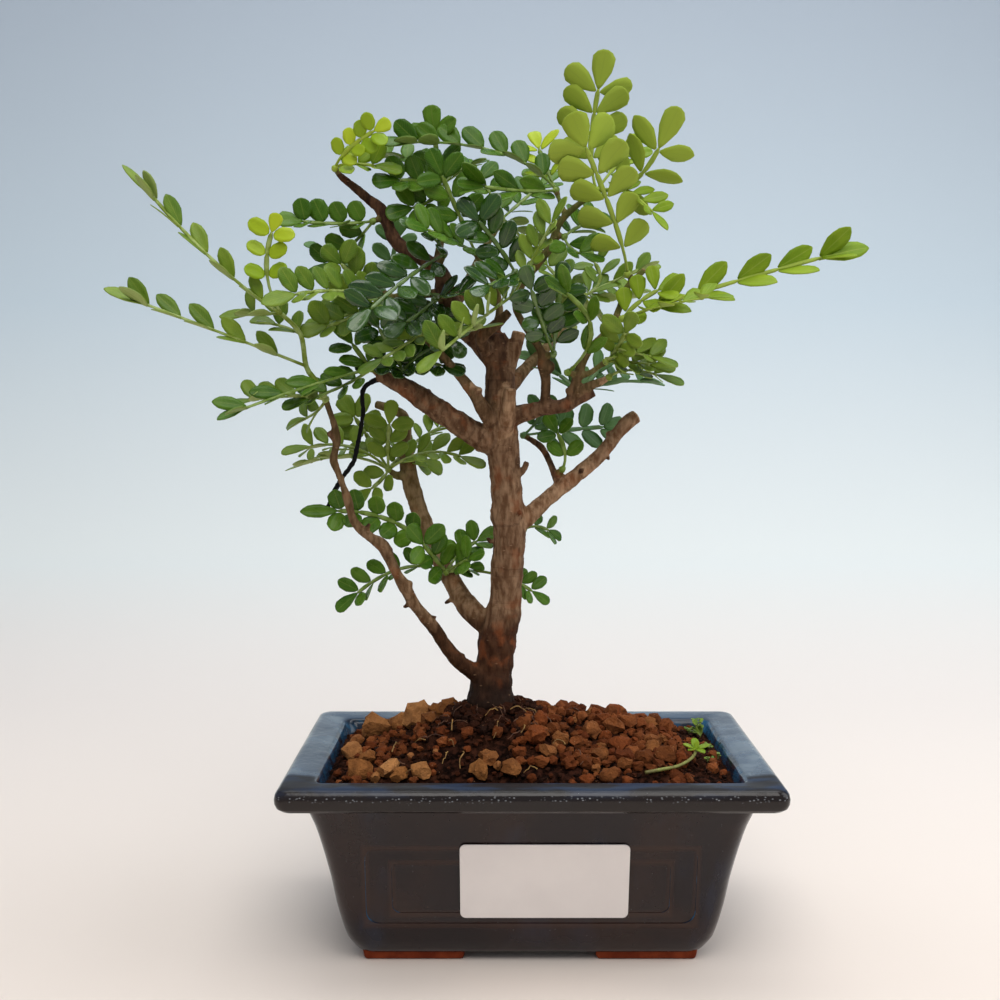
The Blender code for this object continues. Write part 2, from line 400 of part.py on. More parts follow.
# Foliage. A spray is its shade, the points of its stem from the bud outwards, and its fronds. A frond is the
# stem point it grows from, a place halfway along it, its tip, the pairs of leaflets, the bare share of the
# rib before the first pair, the leaflets' length and width, the end leaflet's length, and two angles: face
# turns its upper side from the sky (0) to the viewer (90), and lift raises the leaflets above the rib.
SPRAYS = {
    "left_shoot": ("light", [(-65.4, 174, -12), (-69, 181, -13), (-71.9, 185.6, -14), (-73.6, 195.8, -16),
                             (-79.6, 202.2, -18)],
                   [(4, (-102.6, 220.6, -22), (-129, 250, -26), 5, 0.15, 8.4, 5.2, 13, 22, 38),
                    (2, (-100, 196.6, -20), (-136.5, 210.3, -26), 5, 0.2, 8.8, 5.6, 13, 22, 38),
                    (4, (-88, 202.4, -12), (-100, 201.4, -8), 2, 0.4, 8.6, 4.6, 11, 40, 30),
                    (4, (-84.2, 217, -20), (-80, 234, -22), 2, 0.5, 6.8, 4.8, 6, 85, 10),
                    (0, (-78, 175.8, -18), (-98, 173.4, -24), 2, 0.2, 8.4, 4.8, 9, 20, 25),
                    (0, (-71, 169.4, -8), (-79, 167.6, -4), 2, 0.5, 8.6, 4.8, 8, 40, 15)]),
    "left_high": ("mid", [(-50, 231.6, 1)],
                  [(0, (-65, 231, -2), (-80.5, 232.8, -6), 4, 0.18, 7.4, 6.2, 8, 55, 35),
                   (0, (-59, 222.4, -6), (-72, 213.6, -12), 2, 0.3, 8, 5.4, 9, 40, 25)]),
    "left_mid": ("light", [(-47.6, 207.2, -2)],
                 [(0, (-66, 209.6, -10), (-86, 205.2, -14), 4, 0.2, 8.6, 5.2, 11, 60, 30),
                  (0, (-60, 201.4, 2), (-73, 198.6, 4), 2, 0.3, 8.6, 6, 9, 45, 15),
                  (0, (-57.6, 215.6, 2), (-66, 223.6, 2), 2, 0.35, 8.4, 5.6, 8, 80, 15)]),
    "top_left": ("young", [(-61.6, 247.8, 3)],
                 [(0, (-56.6, 255, -2), (-43.4, 263.2, -6), 4, 0.3, 6.8, 5.2, 7, 80, 15),
                  (0, (-55, 249.6, 2), (-40.6, 247.4, 2), 2, 0.25, 7.8, 4.8, 9, 50, 20)]),
    "top_mid": ("mid", [(-28.2, 241.2, 8.4)],
                [(0, (-29.6, 253, 9), (-31.4, 268, 7), 2, 0.45, 9, 6, 9, 85, 10),
                 (0, (-39, 250.8, 8), (-54, 250.4, 6), 2, 0.25, 8, 4.8, 9, 25, 20),
                 (0, (-23, 247.4, 14), (-12.6, 250.6, 18), 2, 0.3, 7.6, 4.2, 8, 20, 20)]),
    "centre": ("mid", [(-17.4, 221.8, 2)],
               [(0, (-24.6, 238.4, -4), (-31.8, 254.4, -8), 4, 0.25, 9, 5.6, 9, 80, 15),
                (0, (-28, 227, -2), (-39, 231.4, -6), 2, 0.3, 8.6, 5.2, 9, 60, 20)]),
    "upright_left": ("light", [(-5.2, 208, -14)],
                     [(0, (-15.6, 200.6, -30), (-36, 184, -44), 4, 0.15, 9.2, 5, 10, 22, 40),
                      (0, (4.4, 226, -20), (11.4, 239.4, -26), 2, 0.35, 8.6, 4, 9, 35, 20)]),
    "glossy_right": ("dark", [(-4.6, 215.4, -10)],
                     [(0, (-12, 226.4, -20), (-22.6, 238.6, -26), 3, 0.2, 9.6, 5.6, 9, 75, 20),
                      (0, (-10.8, 212.4, -20), (-18.6, 208, -26), 2, 0.4, 9, 5, 9, 50, 20)]),
    "glossy_left": ("dark", [(-27.2, 221.2, -5)],
                    [(0, (-41.6, 211.8, -22), (-57.6, 197.4, -36), 4, 0.2, 10.4, 5.4, 10, 62, 20),
                     (0, (-32.4, 227.6, -12), (-42, 230.6, -18), 2, 0.4, 9.4, 4.8, 9, 50, 15)]),
    "right_high": ("pale", [(21, 241, 1.6)],
                   [(0, (19.8, 259, 2), (24.4, 285, -6), 4, 0.36, 12, 7.2, 12, -88, 8),
                    (0, (35.8, 246.6, -6), (45.8, 268, -14), 3, 0.36, 12, 6.2, 13.5, -80, 8),
                    (0, (28.4, 250.4, 6), (35, 259, 8), 2, 0.5, 8.4, 4.8, 9, 70, 15),
                    (0, (33.4, 239.4, -6), (43.6, 228.2, -10), 2, 0.4, 8, 3.8, 8, 15, 20)]),
    "first_shoot": ("mid", [(8.6, 241, 2.6)],
                    [(0, (-12, 253.8, 4), (-46.8, 256, 0), 5, 0.14, 9.2, 6, 10, 30, 34),
                     (0, (-5, 241.4, -4), (-23.4, 243.8, -8), 3, 0.2, 9.2, 6.4, 9, 55, 20),
                     (0, (4.4, 250.4, 8), (1, 260.4, 12), 1, 0.4, 8.4, 4.8, 8, 65, 20)]),
    "right_mid": ("mid", [(10.6, 226.8, -3)],
                  [(0, (17.4, 230.6, 0), (27, 233, 2), 2, 0.3, 8.4, 6.4, 8, 50, 20),
                   (0, (15.6, 221.6, -8), (24.6, 221.6, -12), 2, 0.4, 8.8, 4.8, 9, 30, 20)]),
    "right_spur": ("dark", [(7.8, 189.4, -11)],
                   [(0, (3.2, 202, -15), (-1.8, 217.6, -18), 2, 0.4, 8, 5, 8, 80, 15),
                    (0, (9, 203, -20), (11, 219, -24), 2, 0.25, 9, 4.8, 9, 75, 20)]),
    "right_node": ("dark", [(12.4, 183.6, -11.4)],
                   [(0, (19.6, 198.8, -20), (4.4, 213.4, -30), 3, 0.3, 9.4, 4.6, 9, 70, 20)]),
    "right_low": ("mid", [(24.6, 187, -13)],
                  [(0, (35, 189.4, -18), (47.4, 185, -24), 2, 0.15, 8, 4.4, 9, 22, 20),
                   (0, (30, 194.4, -22), (33, 203.4, -28), 1, 0.4, 8, 4.6, 8, 70, 20)]),
    "right_lower": ("light", [(25.2, 181.8, -12)],
                    [(0, (35, 184.2, -14), (49.6, 179.2, -18), 2, 0.25, 8.6, 4.6, 9, 30, 10)]),
    "right_shoot": ("pale", [(31.4, 214.8, -6.4)],
                    [(0, (26.6, 233, -12), (13, 265.6, -22), 5, 0.24, 11.6, 8.6, 11, -75, 12)]),
    "long_right": ("pale", [(29.8, 200.8, -8.6)],
                   [(0, (62.6, 211.6, -14), (108.4, 224, -24), 5, 0.2, 11.2, 7.2, 14, 25, 38),
                    (0, (46.4, 205.6, -12), (65.4, 208.2, -14), 2, 0.35, 8.2, 5, 9, 15, 10)]),
    "left_tip": ("mid", [(-50, 184.2, -7.4)],
                 [(0, (-73, 178.6, -18), (-101, 168.6, -28), 4, 0.2, 8.4, 5, 9, 20, 25),
                  (0, (-56, 191.4, -10), (-62, 200.4, -12), 2, 0.35, 8.6, 5.2, 9, 70, 20)]),
    "left_small": ("light", [(-34.8, 195.4, -13)],
                   [(0, (-43, 190.6, -20), (-55, 183.4, -26), 2, 0.2, 7.6, 4.2, 9, 30, 15),
                    (0, (-25, 196, -26), (-8.4, 199.6, -34), 2, 0.2, 6.4, 3, 8, 15, 15)]),
    "back_tuft": ("mid", [(-45, 151.8, 14.4)],
                  [(0, (-45.6, 163, 12), (-44, 174.6, 10), 2, 0.35, 8, 4.8, 8, 80, 15),
                   (0, (-61, 160.2, 9), (-80, 156.6, 6), 2, 0.3, 8.8, 4.6, 10, 35, 20),
                   (0, (-61, 156.4, 18), (-79, 151.2, 20), 2, 0.4, 8, 3.6, 10, 10, 20),
                   (0, (-53, 164, 18), (-61, 176, 20), 2, 0.45, 8.8, 6.2, 9, 75, 15),
                   (0, (-30.6, 158, 12), (-14.6, 152.4, 9), 2, 0.3, 8.4, 4.6, 9, 35, 20),
                   (0, (-35, 162.4, 24), (-22, 168.6, 28), 2, 0.35, 8, 4, 9, 25, 20)]),
    "low_tuft": ("dark", [(-27, 118.8, 5)],
                 [(0, (-44, 119.2, 3), (-62.6, 105.6, 0), 2, 0.35, 7.6, 4.4, 9, 40, 20),
                  (0, (-46, 136, 2), (-74.4, 137.4, -2), 2, 0.42, 7.2, 6.2, 12, 75, 20),
                  (0, (-33, 126, -3), (-39.6, 134, -9), 2, 0.25, 8.4, 5.4, 9, 60, 20),
                  (0, (-20, 127, 14), (-9.6, 131.6, 17), 2, 0.45, 7.2, 5, 8, 45, 20),
                  (0, (-20.6, 122.6, -2), (-14.4, 125, -6), 1, 0.7, 7.4, 4.8, 7, 50, 20),
                  (0, (-8.6, 117.4, 19), (6.2, 108, 22), 1, 0.65, 6.6, 3.8, 7, 40, 15)]),
    "trunk_back": ("mid", [(-1.6, 132.8, 10.4)],
                   [(0, (4.2, 133.4, 13), (10.4, 129.2, 16), 1, 0.5, 6.2, 4, 6, 45, 15)]),
    "cut_spur": ("teal", [(-1.6, 163.2, 14.6)],
                 [(0, (14, 165.2, 19), (31.4, 166.6, 25), 2, 0.25, 8.2, 6.2, 9, 70, 20),
                  (0, (3, 168.6, 18), (7.6, 176.4, 20), 1, 0.5, 7, 4.4, 7, 60, 20)]),
    "cut_arm": ("mid", [(10.8, 152.4, 5.6)],
                [(0, (11, 160, 6), (5, 169.8, 7), 2, 0.4, 6.6, 4.6, 7, 75, 15)]),
    "right_back": ("teal", [(15.8, 176.8, -2.4)],
                   [(0, (29, 180.6, 10), (43.6, 180.2, 20), 2, 0.25, 8.6, 5, 10, 30, 20)]),
    "back_right": ("light", [(17.6, 208, 31.6)],
                   [(0, (22.6, 214.4, 36), (16, 223.6, 40), 2, 0.2, 8, 4, 8, 80, 15),
                    (0, (9, 214, 38), (1, 224, 42), 2, 0.25, 8.6, 5.6, 9, 40, 15),
                    (0, (27, 207, 44), (38, 211, 56), 2, 0.25, 8.6, 5.4, 10, 20, 20),
                    (0, (12, 201, 42), (6, 193, 50), 2, 0.3, 8.6, 5.6, 9, -30, 15)]),
    "back_left": ("teal", [(-47, 209.6, 32)],
                  [(0, (-58, 217.6, 36), (-72, 225, 38), 2, 0.3, 8.6, 5, 10, 25, 20),
                   (0, (-57, 204.6, 40), (-67, 199, 44), 2, 0.3, 8.4, 6, 9, 45, 15),
                   (0, (-43.6, 221, 34), (-41, 234, 34), 2, 0.25, 8.4, 5.4, 9, 75, 15),
                   (0, (-42, 202.6, 42), (-36, 194, 52), 2, 0.3, 8.6, 5.4, 9, -20, 15)]),
    "back_top": ("mid", [(-8.8, 232.4, 27.4)],
                 [(0, (-14, 242.4, 32), (-22, 250.4, 36), 2, 0.25, 8.4, 5.4, 9, 40, 15),
                  (0, (0, 240, 32), (9, 247.6, 34), 2, 0.25, 8.4, 5.6, 9, 40, 15),
                  (0, (-4, 228, 40), (1, 220, 50), 2, 0.25, 8.6, 5.4, 9, 10, 15)]),
    "inner_left": ("dark", [(-40.6, 184, -3)],
                   [(0, (-46, 194, -6), (-53.6, 205.4, -8), 2, 0.25, 8.8, 5.4, 9, 70, 20),
                    (0, (-37.4, 195.6, 2), (-31.4, 206.4, 4), 2, 0.4, 8.6, 5.2, 9, 75, 20)]),
    "inner_mid": ("dark", [(-30.4, 206.8, -6)],
                  [(0, (-38, 200.6, -12), (-47, 196, -16), 2, 0.25, 8.6, 5.4, 9, 60, 20),
                   (0, (-23.4, 208.6, -12), (-14, 207, -16), 2, 0.3, 8.6, 4.4, 9, 30, 20)]),
}


def soil_height(x, y):
    """Height of the soil in millimetres: a dome, a heap at the right and the root ball's mound."""
    across, deep = abs(x / DOME_REACH[0]), abs(y / DOME_REACH[1])
    dome = DOME_HEIGHT * (1 - min(1, across ** 3)) * (1 - min(1, deep ** 3))
    aside, back = (x - HEAP_PLACE[0]) / HEAP_REACH[0], (y - HEAP_PLACE[1]) / HEAP_REACH[1]
    heap = HEAP_HEIGHT * math.exp(-aside * aside - back * back)
    stem_x, _, stem_y, _ = WOOD["stem"][1]
    reach = math.hypot(x - stem_x, y - stem_y) / MOUND_REACH
    mound = MOUND_HEIGHT * math.exp(-reach * reach)
    ripple = RIPPLE_HEIGHT * math.sin(x * RIPPLE_WAVES[0] + 1.3) * math.sin(y * RIPPLE_WAVES[1] + 0.4)
    return SOIL_EDGE + dome + heap + mound + ripple


def stone_places(rng):
    """Places, sizes and turns of the granules, bigger at the left and at the front."""
    stem_x, _, stem_y, _ = WOOD["stem"][1]
    places = []
    tries = 0
    while len(places) < STONES and tries < 6000:
        tries += 1
        x, y = rng.uniform(-STONE_FIELD[0], STONE_FIELD[0]), rng.uniform(-STONE_FIELD[1], STONE_FIELD[1])
        size = rng.uniform(*(BIG_STONE if x < stem_x else SMALL_STONE))
        near_stem = math.hypot(x - stem_x, y - stem_y) < BARE_RING + size
        near_weed = any(math.hypot(x - WEED_ROOT[0] - a, y - WEED_ROOT[1] - b) < size + WEED_ROOM
                        for a, b, _ in WEED_ROUTE)
        past_wall = abs(x) + size > STONE_EDGE[0] or abs(y) + size > STONE_EDGE[1]
        crowded = any(math.hypot(x - a, y - b) < (size + c) * 0.86 for a, b, c, _ in places)
        if near_stem or near_weed or past_wall or crowded:
            continue
        turn = (rng.uniform(0, math.tau), rng.uniform(0, math.tau), rng.uniform(0.72, 0.95))
        places.append((x, y, size, turn))
    return places


def make_soil(parts, cutters, finish, stem_hole):
    """Root ball: what the pot's inside and the soil's relief have in common, with stones and a stem hole."""
    widest = POT_INSIDE[0][0]
    inside = [pot_ring(half - SOIL_AIR, height, SOIL_CORNER) for half, height in reversed(POT_INSIDE)]
    inside[0] = pot_ring(POT_INSIDE[-1][0] - SOIL_AIR, POT_FLOOR + GAP / MM, SOIL_CORNER)
    inside += [pot_ring(widest, POT_LIP[-1][1] + 2, SOIL_CORNER), pot_ring(widest, SOIL_TOP, SOIL_CORNER)]
    soil = new_object("soil", mesh_from(loft(inside), "soil"), parts, finish)
    columns, rows = SOIL_ROWS
    bm = bmesh.new()
    bmesh.ops.create_grid(bm, x_segments=columns, y_segments=rows, size=0.5)
    for vertex in bm.verts:
        x, y = vertex.co.x * SOIL_SHEET[0], vertex.co.y * SOIL_SHEET[1]
        vertex.co = mm(x, y, soil_height(x, y))
    bmesh.ops.triangulate(bm, faces=bm.faces)
    sheet = bmesh.ops.extrude_face_region(bm, geom=bm.faces[:])
    for item in sheet["geom"]:
        if isinstance(item, bmesh.types.BMVert):
            item.co.z = -5 * MM
    bmesh.ops.recalc_face_normals(bm, faces=bm.faces)
    relief = new_object("soil_relief", mesh_from(bm, "soil_relief"), cutters)
    boolean(soil, "INTERSECT", other=relief)
    drop([relief])
    rng = random.Random(SEED)
    for index, (x, y, size, turn) in enumerate(stone_places(rng)):
        stone = bmesh.new()
        bmesh.ops.create_icosphere(stone, subdivisions=1, radius=size * MM)
        bmesh.ops.scale(stone, vec=(1.0, turn[2], 0.8), verts=stone.verts)
        spin = Matrix.Rotation(turn[0], 4, "Z") @ Matrix.Rotation(0.35 * math.sin(turn[1]), 4, "X")
        place = Matrix.Translation(mm(x, y, soil_height(x, y) + size * 0.12))
        bmesh.ops.transform(stone, matrix=place @ spin, verts=stone.verts)
        new_object(f"stone_{index}", mesh_from(stone, "stone"), cutters)
    boolean(soil, "UNION", group=cutters)
    drop(cutters.objects)
    cutters.objects.link(stem_hole)
    weed = bmesh.new()
    weed_middle = mm(*WEED_ROOT, soil_height(*WEED_ROOT) + 6)
    bmesh.ops.create_cone(weed, cap_ends=True, segments=8, radius1=WEED_HOLE * MM, radius2=WEED_HOLE * MM,
                          depth=24 * MM, matrix=Matrix.Translation(weed_middle))
    new_object("weed_hole", mesh_from(weed, "weed_hole"), cutters)
    for side in (-1, 1):
        pocket = bmesh.new()
        bmesh.ops.create_cube(pocket, size=1.0)
        room = PAD_SIZE + 2 * GAP / MM
        tall = 2 * (PAD_THICK * MM + 2 * GAP)
        bmesh.ops.scale(pocket, vec=(room * MM, room * MM, tall), verts=pocket.verts)
        bmesh.ops.translate(pocket, vec=mm(side * DRAIN_OFFSET, 0, POT_FLOOR), verts=pocket.verts)
        new_object(f"pocket_{side}", mesh_from(pocket, "pocket"), cutters)
    boolean(soil, "DIFFERENCE", group=cutters)
    drop(cutters.objects)
    return soil


def tube(name, points, radii, group, fine=True):
    """A solid tube through points in metres, as a mesh object."""
    curve = bpy.data.curves.new(name, "CURVE")
    curve.dimensions = "3D"
    curve.bevel_depth = MM
    curve.bevel_resolution = 2 if fine else 1
    curve.use_fill_caps = True
    line = curve.splines.new("POLY")
    line.points.add(len(points) - 1)
    for target, point, radius in zip(line.points, points, radii):
        target.co = (*point, 1.0)
        target.radius = radius
    shape = bpy.data.objects.new(name, curve)
    group.objects.link(shape)
    mesh = evaluated_mesh(shape)
    bpy.data.objects.remove(shape, do_unlink=True)
    return new_object(name, mesh, group)


def ball(name, centre, radius, group):
    bm = bmesh.new()
    bmesh.ops.create_icosphere(bm, subdivisions=1, radius=radius * MM, matrix=Matrix.Translation(centre))
    return new_object(name, mesh_from(bm, name), group)


def nearest_on_wood(point):
    """The point on the limbs' centre lines that is nearest to a point, and the limb's radius there."""
    best = None
    for limb in WOOD.values():
        for first, second in zip(limb, limb[1:]):
            a, b = seen(first), seen(second)
            share = max(0.0, min(1.0, (point - a).dot(b - a) / (b - a).length_squared))
            found = a.lerp(b, share)
            if best is None or (point - found).length < (point - best[0]).length:
                best = (found, first[3] + (second[3] - first[3]) * share)
    return best


def bud_place(place):
    """Where a spray's bud sits: at its place, or pushed out until it clears the limb it grows from."""
    point = seen(place)
    root, radius = nearest_on_wood(point)
    least = (radius + BUD_RADIUS) * MM + 1.5 * GAP
    if (point - root).length < least:
        point = root + (point - root).normalized() * least
    return point


def make_trunk(parts, cutters, finish):
    """All the wood in one node: limbs, knobs and the spurs that carry the sprays."""
    stem = WOOD["stem"]
    trunk = tube("trunk", [seen(place) for place in stem], [place[3] for place in stem], parts)
    trunk.data.materials.append(finish)
    for name, limb in WOOD.items():
        if name != "stem":
            fine = max(place[3] for place in limb) > 3.9
            tube(name, [seen(place) for place in limb], [place[3] for place in limb], cutters, fine)
    for index, knob in enumerate(KNOBS):
        root, radius = nearest_on_wood(seen(knob))
        ball(f"knob_{index}", root + (seen(knob) - root).normalized() * radius * MM * 0.9, knob[3], cutters)
    for name, (_, stem_points, _) in SPRAYS.items():
        bud = bud_place(stem_points[0])
        root, radius = nearest_on_wood(bud)
        along = (bud - root).normalized()
        end = bud - along * (BUD_RADIUS * MM + BUD_AIR)
        if (end - root).dot(along) > 0.4 * MM:
            tube(f"spur_{name}", [root, end], [min(1.3, radius * 0.9), 0.85], cutters, fine=False)
    boolean(trunk, "UNION", group=cutters)
    drop(cutters.objects)
    return trunk


class Frond:
    """One compound leaf as an open sheet: rib stations along an arc, with leaflets cut to the rib."""

    def __init__(self, start, row, trial=(0, 0, 0)):
        _, half, tip, self.pairs, self.bare, self.length, self.width, self.last, face, lift = row
        away, turn, rise = trial
        self.start = start
        self.half = seen((half[0], half[1] + rise * 0.5, half[2] + away * 0.6))
        self.tip = seen((tip[0], tip[1] + rise, tip[2] + away))
        self.face = math.radians(face + turn)
        self.lift = math.radians(lift)
        self.control = 2 * self.half - (self.start + self.tip) / 2
        self.reach = [0.0]
        points = [self.at(step / RIB_STEPS) for step in range(RIB_STEPS + 1)]
        for first, second in zip(points, points[1:]):
            self.reach.append(self.reach[-1] + (second - first).length)
        self.rib_length = max(self.reach[-1] - self.last * MM, self.reach[-1] * 0.35)
        spacing = self.rib_length * (1 - self.bare) / max(1, self.pairs - 1)
        loose = self.pairs > 2 and spacing > LOOSE_FROM * self.length * MM
        self.sweep = math.radians(LOOSE_SWEEP if loose else LEAF_SWEEP)
        self.end_sweep = math.radians(LOOSE_SWEEP if loose else END_PAIR_SWEEP)

    def at(self, share):
        near, far = 1 - share, share
        return near * near * self.start + 2 * near * far * self.control + far * far * self.tip

    def frame(self, distance):
        """Point, tangent, side and upper normal at a distance along the rib."""
        index = 0
        while index < RIB_STEPS - 1 and self.reach[index + 1] < distance:
            index += 1
        span = self.reach[index + 1] - self.reach[index]
        share = (index + (distance - self.reach[index]) / span) / RIB_STEPS
        point = self.at(share)
        tangent = (self.at(min(1, share + 0.01)) - self.at(max(0, share - 0.01))).normalized()
        upper = Vector((0, -math.sin(self.face), math.cos(self.face)))
        normal = (upper - upper.dot(tangent) * tangent).normalized()
        return point, tangent, tangent.cross(normal), normal

    def sheet(self):
        """Vertices and faces of the rib's strip and of the leaflets on its edges."""
        half, joint = RIB_HALF * MM, JOINT_HALF * MM
        nodes = [self.rib_length * (self.bare + (1 - self.bare) * k / max(1, self.pairs - 1)) - joint
                 for k in range(self.pairs)]
        if self.pairs == 1:
            nodes = [self.rib_length - joint]
        stations = [0.0]
        for node in nodes:
            stations += [node - joint, node + joint]
        verts, faces = [], []
        for distance in stations:
            point, _, side, _ = self.frame(distance)
            verts += [point - side * half, point + side * half]
        for index in range(len(stations) - 1):
            a = 2 * index
            faces.append((a, a + 1, a + 3, a + 2))
        for index, node in enumerate(nodes):
            closing = index == len(nodes) - 1
            share = (index + 1) / len(nodes)
            size = FIRST_PAIR_SIZE + (1 - FIRST_PAIR_SIZE) * min(1, 2 * share)
            for sign in (-1, 1):
                point, tangent, side, normal = self.frame(node)
                sweep = self.end_sweep if closing else self.sweep
                lift = self.lift + (END_PAIR_LIFT if closing else 0)
                flat = sign * math.cos(sweep) * side + math.sin(sweep) * tangent
                out = (math.cos(lift) * flat + math.sin(lift) * normal).normalized()
                across = (tangent - tangent.dot(out) * out).normalized()
                tilt = Matrix.Rotation(-sign * math.radians(SHINGLE), 3, out)
                across = tilt @ across
                base = point + sign * side * half
                edge = 2 * (2 * index + 1) + (1 if sign > 0 else 0)
                self.leaflet(verts, faces, base, out, across, size, (edge, edge + 2))
        point, tangent, side, normal = self.frame(stations[-1])
        edge = 2 * (len(stations) - 1)
        self.leaflet(verts, faces, point, tangent, side, self.last / self.length, (edge, edge + 1))
        return verts, faces

    def leaflet(self, verts, faces, base, out, across, size, edge):
        """One leaflet, widest past its middle, on the rib's edge between two vertices."""
        length = self.length * MM * size
        half = self.width / 2 * MM * min(size, 1.15)
        first = len(verts)
        outline = BLUNT_LEAFLET if self.width > ROUND_FROM * self.length else SLIM_LEAFLET
        for along, wide in outline:
            verts.append(base + out * length * along + across * half * wide)
        faces.append((edge[0], *range(first, first + len(outline)), edge[1]))


def sheet_mesh(frond, name):
    """The frond's sheet as triangles, all on one side."""
    verts, faces = frond.sheet()
    bm = bmesh.new()
    made = [bm.verts.new(vertex) for vertex in verts]
    for face in faces:
        bm.faces.new([made[index] for index in face])
    bmesh.ops.recalc_face_normals(bm, faces=bm.faces)
    bmesh.ops.triangulate(bm, faces=bm.faces)
    return mesh_from(bm, name)


class Bulk:
    """A sheet or a solid to keep clear of: its points, its faces and a tree over them."""

    def __init__(self, points, faces, spray=None, is_bud=False):
        self.is_bud = is_bud
        self.points = points
        self.faces = faces
        self.tree = BVHTree.FromPolygons(points, faces)
        self.centre = sum(points, Vector()) / len(points)
        self.radius = max((point - self.centre).length for point in points)
        self.spray = spray


def bulk_of(mesh, spray=None, is_bud=False):
    points = [vertex.co.copy() for vertex in mesh.vertices]
    return Bulk(points, [tuple(face.vertices) for face in mesh.polygons], spray, is_bud)


def layered(mesh, offset):
    """The sheet and a copy on each side of it, as one set of triangles."""
    points, faces = [], []
    for sign in (0, -1, 1):
        first = len(points)
        points += [vertex.co + vertex.normal * offset * sign for vertex in mesh.vertices]
        faces += [tuple(first + index for index in face.vertices) for face in mesh.polygons]
    return points, faces


def is_clear(mesh, frond, kept, wood, spray):
    """Whether a sheet keeps its distance from the kept sheets and the wood, past its own bud."""
    points, faces = layered(mesh, 0.8 * CLEARANCE * MM)
    tree = BVHTree.FromPolygons(points, faces)
    plain = [vertex.co for vertex in mesh.vertices]
    step = 1.5 * MM
    solid = plain + [frond.frame(step * k)[0] for k in range(1, int(frond.rib_length / step))]
    for point in solid:
        away = (point - frond.start).length > BUD_REACH * MM
        if away and wood.tree.find_nearest(point, WOOD_CLEARANCE * MM)[0] is not None:
            return False
    for index, _ in tree.overlap(wood.tree):
        if all((points[corner] - frond.start).length > BUD_REACH * MM for corner in faces[index]):
            return False
    centre = sum(plain, Vector()) / len(plain)
    radius = max((point - centre).length for point in plain)
    for other in kept:
        if (other.centre - centre).length > radius + other.radius + 2 * MM:
            continue
        near = SHARED_REACH * MM if other.spray == spray else 0.0
        if other.spray != spray and tree.overlap(other.tree):
            return False
        reach = CLEARANCE * MM
        free = [point for point in solid if (point - frond.start).length > near]
        if any(other.tree.find_nearest(point, reach)[0] is not None for point in free):
            return False
        if other.is_bud and other.spray == spray:
            continue
        free = [point for point in other.points if (point - frond.start).length > near]
        if any(tree.find_nearest(point, 0.3 * reach)[0] is not None for point in free):
            return False
    return True


def settled(start, row, kept, wood, spray):
    """The sheet of the frond, moved by the first small change of depth, turn and rise that clears it."""
    for rise in RISE_TRIALS:
        for turn in FACE_TRIALS:
            for away in DEPTH_TRIALS:
                frond = Frond(start, row, (away, turn, rise))
                mesh = sheet_mesh(frond, "sheet")
                if is_clear(mesh, frond, kept, wood, spray):
                    return mesh
    return None


def make_sprays(parts, cutters, trunk, finishes):
    wood = bulk_of(trunk.data)
    kept = []
    for name, (shade, stem_points, _) in SPRAYS.items():
        points = [bud_place(stem_points[0])] + [seen(place) for place in stem_points[1:]]
        spray = ball(f"spray_{name}", points[0], BUD_RADIUS, parts)
        spray.data.materials.append(finishes[shade])
        if len(points) > 1:
            radii = [1.0 - 0.3 * k / (len(points) - 1) for k in range(len(points))]
            stem = tube(f"stem_{name}", points, radii, cutters, fine=False)
            boolean(spray, "UNION", other=stem)
            drop([stem])
        kept.append(bulk_of(spray.data, name, is_bud=True))
    for name, (_, stem_points, rows) in SPRAYS.items():
        spray = bpy.data.objects[f"spray_{name}"]
        for index, row in enumerate(rows):
            start = seen(stem_points[row[0]]) if row[0] else bud_place(stem_points[0])
            mesh = settled(start, row, kept, wood, name)
            if mesh is None:
                continue
            kept.append(bulk_of(mesh, name))
            blade = new_object(f"frond_{name}_{index}", mesh, cutters)
            wall = blade.modifiers.new("Solidify", "SOLIDIFY")
            wall.thickness = BLADE_THICK * MM
            wall.offset = 0.0
            blade.data = evaluated_mesh(blade)
            blade.modifiers.clear()
        boolean(spray, "UNION", group=cutters)
        drop(cutters.objects)


def make_weed(parts, cutters, finish):
    """A creeping weed: one arching stem out of its hole and a rosette of small leaves."""
    x, y = WEED_ROOT
    route = [mm(x, y, soil_height(x, y) - WEED_DEPTH)]
    route += [mm(x + a, y + b, soil_height(x + a, y + b) + rise) for a, b, rise in WEED_ROUTE]
    weed = tube("weed", route, [WEED_STEM] * len(route), parts, fine=False)
    weed.data.materials.append(finish)
    centre = route[-1]
    for index in range(WEED_LEAVES):
        bearing = math.tau * (index + 0.3) / WEED_LEAVES
        out = Vector((math.cos(bearing), math.sin(bearing), 0.35 + 0.25 * (index % 2))).normalized()
        across = out.cross(Vector((0, 0, 1))).normalized()
        length = (WEED_LEAF + index % 3) * MM
        bm = bmesh.new()
        outline = [(0.0, -0.35), (0.66, -1.5), (1.0, 0.0), (0.66, 1.5), (0.0, 0.35)]
        bm.faces.new([bm.verts.new(centre + out * length * along + across * wide * MM)
                      for along, wide in outline])
        bmesh.ops.triangulate(bm, faces=bm.faces)
        leaf = new_object(f"weed_leaf_{index}", mesh_from(bm, "weed_leaf"), cutters)
        wall = leaf.modifiers.new("Solidify", "SOLIDIFY")
        wall.thickness = BLADE_THICK * MM
        wall.offset = 0.0
        leaf.data = evaluated_mesh(leaf)
        leaf.modifiers.clear()
    boolean(weed, "UNION", group=cutters)
    drop(cutters.objects)
    return weed


